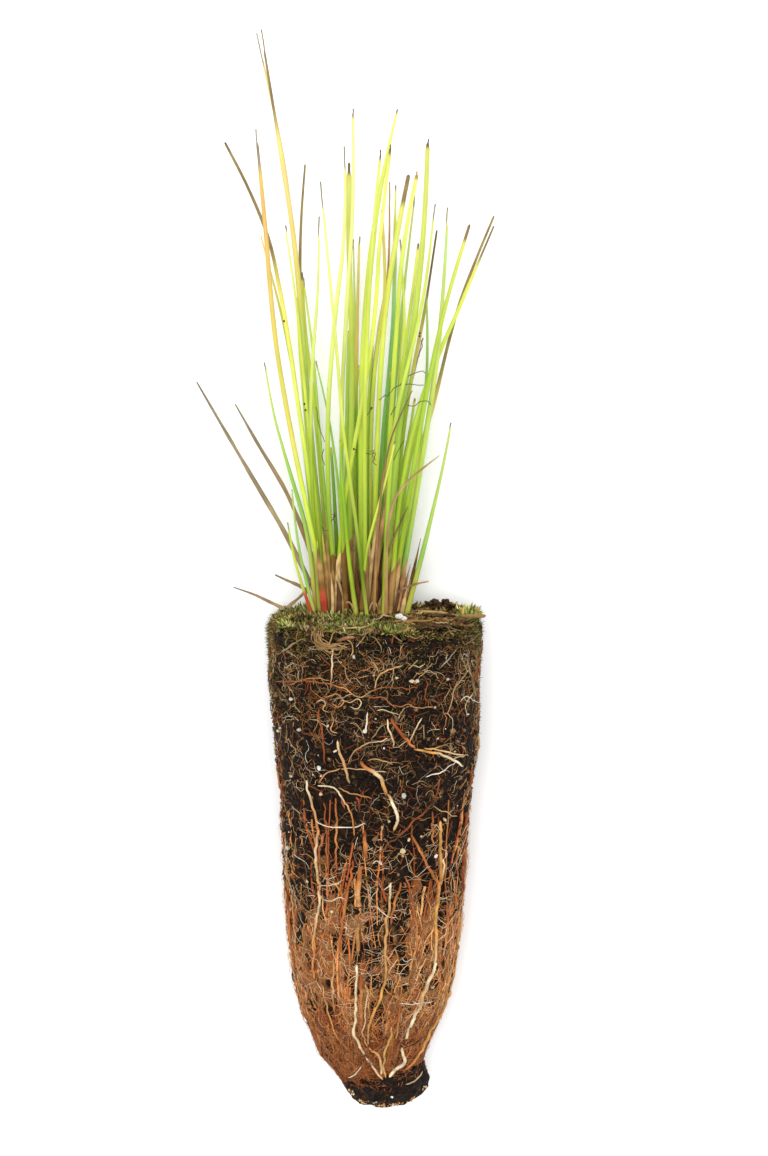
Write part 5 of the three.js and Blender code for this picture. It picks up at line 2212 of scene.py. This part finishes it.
@dataclass
class CrownMoss:
    """The moss on the crown and down the upper side of the ball."""

    skin: BallSkin
    finish: MattFinish = MattFinish("moss", 0.7, 0.5, 0.8, 3.0, 2.0, 0.1)
    crown_tufts: int = 1050
    tuft_leaves: int = 9
    rim_leaves: int = 1500
    side_hairs: int = 21000

    def leaves(self, joined: Joined, feet: Array, way: Array, long: Array, tints: Array,
               rng: Generator) -> None:
        """Adds small pointed leaves.

        Args:
            joined: the mesh that grows.
            feet: where they stand.
            way: where they point.
            long: their lengths.
            tints: their colours.
            rng: draws the numbers.
        """
        count = len(feet)
        way = unit(way)
        side = unit(np.cross(way, rng.normal(size=(count, 3))))
        up = np.cross(side, way)
        wide = (long * rng.uniform(0.12, 0.2, count))[:, None]
        bend = rng.normal(0, 0.18, (count, 1)) * long[:, None]
        rings = []
        for reach, share in ((0.0, 0.6), (0.45, 1.0)):
            middle = feet + way * long[:, None] * reach + up * bend * reach**2
            for a in TURN * np.arange(3) / 3:
                rings.append(middle + wide * share * (math.cos(a) * side + 0.45 * math.sin(a) * up))
        rings.append(feet + way * long[:, None] + up * bend)
        corners = np.stack(rings, axis=1)
        # Painted shade at the foot of each leaf and a painted highlight at its tip.
        shade = np.array([0.3, 0.3, 0.3, 0.85, 0.85, 0.85, 1.45])
        faces = np.array([(0, 2, 1), (0, 1, 4), (0, 4, 3), (1, 2, 5), (1, 5, 4), (2, 0, 3), (2, 3, 5),
                          (3, 4, 6), (4, 5, 6), (5, 3, 6)])
        joined.add(corners, faces, tints[:, None] * shade[None, :, None])

    def tuft(self, x: Array, z: Array) -> Array:
        """How much a place belongs to the tall fresh tuft near the right edge, from 0 to 1."""
        return np.exp(-(((x - 23) / 2.6) ** 4) - ((z - 1) / 5) ** 4)

    def growth(self, x: Array, z: Array) -> tuple[Array, Array, Array]:
        """How the moss grows over the crown.

        Args:
            x: across the clump.
            z: towards the side that faces up.

        Returns:
            How fresh, how bright and how blue it is at each place, from 0 to 1.
        """
        patch = lumps(np.c_[x, 0 * x, z], 6.0, 51)
        tuft = self.tuft(x, z)
        fresh = 0.68 - 0.6 * smoothstep(6.5, 9.5, x) + 0.5 * (patch - 0.5) - 0.25 * smoothstep(-16, -22, x)
        fresh = np.clip(np.maximum(fresh, tuft), 0.06, 1)
        bright = np.clip(0.35 + 0.65 * tuft + 0.3 * smoothstep(0.4, 0.7, patch), 0, 1)
        blue = np.exp(-(((x - 5) / 3.5) ** 2)) * smoothstep(12, 3, z)
        return fresh, bright, blue

    def colours(self, x: Array, z: Array, rng: Generator) -> Array:
        """Colours of the moss at places on the crown.

        Args:
            x: across the clump.
            z: towards the side that faces up.
            rng: draws the numbers.

        Returns:
            A colour for each place.
        """
        count = len(x)
        fresh, bright, blue = self.growth(x, z)
        green = drawn(rng, "MOSS MOSS_LIGHT MOSS_DEEP MOSS MOSS_PALE", count)
        stale = drawn(rng, "OLIVE UMBER SHEATH STRAW BARK", count)
        green = np.where((rng.uniform(0, 1, count) < 0.4 * blue)[:, None], Tint.MOSS_BLUE.rgb, green)
        picked = np.where((rng.uniform(0, 1, count) < fresh)[:, None], green, stale)
        bare = 0.5 * smoothstep(6.5, 9.5, x)
        return picked * (rng.uniform(0.3, 1.15, count) + 0.28 * bright + bare)[:, None]

    def build(self) -> None:
        """Makes the leaves."""
        material = self.finish.build()
        rng = default_rng(61)
        joined = Joined()
        self.on_crown(joined, rng)
        self.on_rim(joined, rng)
        joined.finish("moss_leaves", "moss", material)
        fuzz = Joined()
        self.on_sides(fuzz, rng)
        fuzz.finish("moss_fuzz", "moss", material)

    def on_crown(self, joined: Joined, rng: Generator) -> None:
        """Adds tufts over the crown, each a few leaves that spread from one foot.

        Args:
            joined: the mesh that grows.
            rng: draws the numbers.
        """
        tree = tree_of("moss_mat", "root_ball")
        x, z = rng.uniform(-28, 28, (2, self.crown_tufts * 4))
        fresh, _, _ = self.growth(x, z)
        grown = rng.uniform(0, 1, len(x)) < 0.25 + 0.75 * fresh
        feet = []
        for px, pz in zip(x[grown], z[grown]):
            place, normal, _, _ = tree.ray_cast(Vector((px, 20, pz)), Vector((0, -1, 0)))
            if place is not None and place.y > -1.6 and len(feet) < self.crown_tufts:
                feet.append(np.array(place) - np.array(normal) * 0.7)
        feet = np.array(feet)
        tints = np.repeat(self.colours(feet[:, 0], feet[:, 2], rng), self.tuft_leaves, axis=0)
        taller = 1 + 0.8 * self.tuft(feet[:, 0], feet[:, 2])
        tall = np.repeat(rng.uniform(0.75, 1.25, len(feet)) * taller, self.tuft_leaves)
        feet = np.repeat(feet, self.tuft_leaves, axis=0)
        count = len(feet)
        spread = rng.normal(0, 0.5, (count, 3))
        away = np.c_[feet[:, 0], 0 * feet[:, 0], feet[:, 2]] / 60
        way = np.array([0, 1, 0]) + spread + away
        feet = feet + spread * np.array([0.55, 0.0, 0.55]) + rng.normal(0, 0.12, (count, 3))
        tints = tints * rng.uniform(0.75, 1.25, (count, 1))
        self.leaves(joined, feet, way, tall * rng.uniform(1.0, 2.0, count), tints, rng)

    def on_rim(self, joined: Joined, rng: Generator) -> None:
        """Adds the ragged edge that hangs over the rim of the ball.

        Args:
            joined: the mesh that grows.
            rng: draws the numbers.
        """
        count = self.rim_leaves
        angle = rng.uniform(0, TURN, count)
        hang = lumps(round_axis(angle, 24, 0), 3.5, 53)
        y = -0.75 - rng.uniform(0, 1, count) * (0.3 + 3.4 * hang**3)
        feet = self.skin.point(angle, y, 0.9)
        tints = self.colours(feet[:, 0], feet[:, 2], rng)
        way = round_axis(angle, 1, 0.5) + rng.normal(0, 0.55, (count, 3))
        self.leaves(joined, feet, way, rng.uniform(0.8, 1.6, count), tints, rng)

    def on_sides(self, joined: Joined, rng: Generator) -> None:
        """Adds the olive fuzz down the side of the ball, longest where it shows at the edges.

        Args:
            joined: the mesh that grows.
            rng: draws the numbers.
        """
        count = self.side_hairs
        angle = rng.uniform(0, TURN, count)
        y = -0.8 - 40 * rng.uniform(0, 1, count) ** 2.1
        patch = lumps(round_axis(angle, 24, y), 4.0, 52)
        keep = patch > 0.25 + 0.4 * smoothstep(-5, -34, y)
        angle, y = angle[keep], y[keep]
        count = len(y)
        feet = self.skin.point(angle, y, rng.uniform(0.5, 1.3, count))
        way = unit(round_axis(angle, 1, 0.2) + rng.normal(0, 0.55, (count, 3)))
        edge = smoothstep(0.75, 0.97, np.abs(np.cos(angle)))
        long = rng.uniform(0.5, 1.5, count) * (1 + 0.35 * edge) * (1 - 0.35 * smoothstep(-4, -16, y))
        tints = drawn(rng, "OLIVE UMBER STRAW OLIVE MOSS BARK SHEATH", count)
        tints = tints * rng.uniform(0.5, 1.6, (count, 1))
        # Painted shade on the flanks of the ball, where its side turns away from the light, below the rim.
        beside = smoothstep(0.5, 0.9, np.abs(np.cos(angle)))
        tints = tints * (1 - 0.45 * smoothstep(-6, -16, y) * beside)[:, None]
        joined.spikes(feet, feet + way * long[:, None], rng.uniform(0.07, 0.15, count), tints)


@dataclass
class PaleGrains:
    """White and tan mineral grains: picture points, each with a radius and a tint, and loose ones."""

    crumbs: Crumbs
    finish: GrainFinish = GrainFinish("pale_grain")
    loose: int = 70
    grains: str = """
        354 657 0.7 STONE; 397 678 0.6 PALE; 412 681 0.8 PALE; 417 681 0.6 STONE; 448 679 0.7 STONE; 319 768
        0.9 WHITE; 321 776 0.35 WHITE; 365 731 0.8 HAIR; 404 796 1.2 STONE; 287.5 848 0.9 STONE; 403 851
        0.9 PALE; 403 856 0.6 TAN; 436 856 0.7 WHITE; 409 840 0.6 PALE; 299 730 0.6 STONE; 280 728 0.5
        STONE; 328 726 0.5 STONE; 308 627 0.5 HAIR; 392 1097 0.45 WHITE; 393 1105 0.35 WHITE; 291 699 0.6
        HAIR; 384 748 0.35 WHITE; 399 627 0.5 WHITE;
    """

    def build(self) -> None:
        """Makes the big grain on the crown and the small ones on the side."""
        material = self.finish.build()
        joined = Joined()
        rng = default_rng(41)
        places, sizes, tints = [], [], []
        for (row,) in rows_of(self.grains):
            across, down, size, name = row.split()
            places.append(SIGHT.lay(float(across), float(down)) + 0.05 * SIGHT.back())
            sizes.append(float(size))
            tints.append(Tint[name].rgb)
        angle = rng.uniform(0, TURN, self.loose)
        y = rng.uniform(-80, -8, self.loose)
        places += list(self.crumbs.skin.point(angle, y, 0.3))
        sizes += list(rng.uniform(0.2, 0.6, self.loose))
        tints += list(drawn(rng, "STONE PALE HAIR STRAW", self.loose))
        self.crumbs.scatter(joined, np.array(places), np.array(sizes), np.array(tints), 42)
        joined.finish("pale_grains", "perlite", material)
        self.perlite(material)

    def perlite(self, material: Material) -> None:
        """Makes the popped white grain on the crown.

        Args:
            material: that it wears.
        """
        low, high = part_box("perlite_grain")
        middle, half = (low + high) / 2, (high - low) / 2
        bm = new_bmesh()
        tint = bm.verts.layers.float_color["tint"]
        for number, (across, up, size) in enumerate(((-0.35, 0.25, 0.75), (0.4, -0.3, 0.62))):
            lobe = bmesh.ops.create_icosphere(bm, subdivisions=3, radius=1)["verts"]
            corners = np.array([v.co for v in lobe])
            reach = 0.7 + 0.45 * lumps(corners, 0.55, 91 + number) + 0.16 * lumps(corners, 0.22, 93 + number)
            shift = (across, up, 0)
            for v, corner, r in zip(lobe, corners, reach):
                v.co = [middle[k] + half[k] * (shift[k] + corner[k] * r * size) for k in range(3)]
                v[tint] = (*Tint.WHITE.rgb, 1)
        finish_bmesh(bm, "perlite", material, ("perlite_grain",))


@dataclass
class Studio:
    """Floor, light and camera."""

    floor_size: float = 6.0
    look_at: tuple[float, float, float] = (0.01003, -0.00088, 0.02717)
    distance: float = 1.2
    tip: float = math.radians(-4.23)
    lens: float = 147.1
    sensor: float = 36
    clip: tuple[float, float] = (0.05, 20)
    floor_white: tuple[float, float, float, float] = (0.96, 0.96, 0.96, 1)
    lamp_size: float = 0.7
    lamp_power: float = 19.0
    lamp_place: tuple[float, float, float] = (-0.06, 0.1, 1.8)

    def floor(self) -> None:
        """A plain pale floor."""
        bm = bmesh.new()
        bmesh.ops.create_grid(bm, x_segments=1, y_segments=1, size=self.floor_size / 2)
        mesh = bpy.data.meshes.new("floor")
        bm.to_mesh(mesh)
        bm.free()
        shader = Shader("floor_white", 0.9)
        shader.surface.inputs["Base Color"].default_value = self.floor_white
        mesh.materials.append(shader.material)
        stand("floor", mesh)

    def lights(self) -> None:
        """Even light from all round, and a broad soft light from above."""
        world = bpy.data.worlds.new("studio")
        world.use_nodes = True
        world.node_tree.nodes["Background"].inputs["Color"].default_value = (1, 1, 1, 1)
        world.node_tree.nodes["Background"].inputs["Strength"].default_value = 1.0
        bpy.context.scene.world = world
        lamp = bpy.data.lights.new("soft_box", "AREA")
        lamp.shape = "DISK"
        lamp.size = self.lamp_size
        lamp.energy = self.lamp_power
        holder = stand("soft_box", lamp)
        holder.location = self.lamp_place
        holder.rotation_euler = Vector(holder.location).to_track_quat("Z", "Y").to_euler()

    def camera(self) -> None:
        """The picture's camera."""
        data = bpy.data.cameras.new("camera")
        data.lens = self.lens
        data.sensor_width = self.sensor
        data.dof.use_dof = False
        data.clip_start, data.clip_end = self.clip
        holder = stand("camera", data)
        back = Vector((0, -math.sin(self.tip), math.cos(self.tip)))
        holder.location = Vector(self.look_at) + back * self.distance
        holder.rotation_euler = (self.tip, 0, 0)
        bpy.context.scene.camera = holder

    def build(self) -> None:
        """Sets the stage."""
        self.floor()
        self.lights()
        self.camera()
        bpy.context.scene.view_settings.view_transform = "Standard"


def main() -> None:
    """Builds the plant and its stage."""
    logging.basicConfig(level=logging.INFO, format="%(message)s")
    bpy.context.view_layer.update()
    SIGHT.tree = tree_of("root_ball", "soil_crumb", "moss_mat")
    GAPS.find()
    skin = BallSkin()
    skin.measure()
    SoilBody().build()
    FineRoots(skin).build()
    TracedRoots().build()
    crumbs = Crumbs(skin)
    crumbs.build()
    CrownMoss(skin).build()
    PaleGrains(crumbs).build()
    StemClump().build()
    DeadBlades().build()
    Sheaths().build()
    DarkHairs().build()
    RimLitter(crumbs).build()
    Studio().build()


if __name__ == "__main__":
    main()
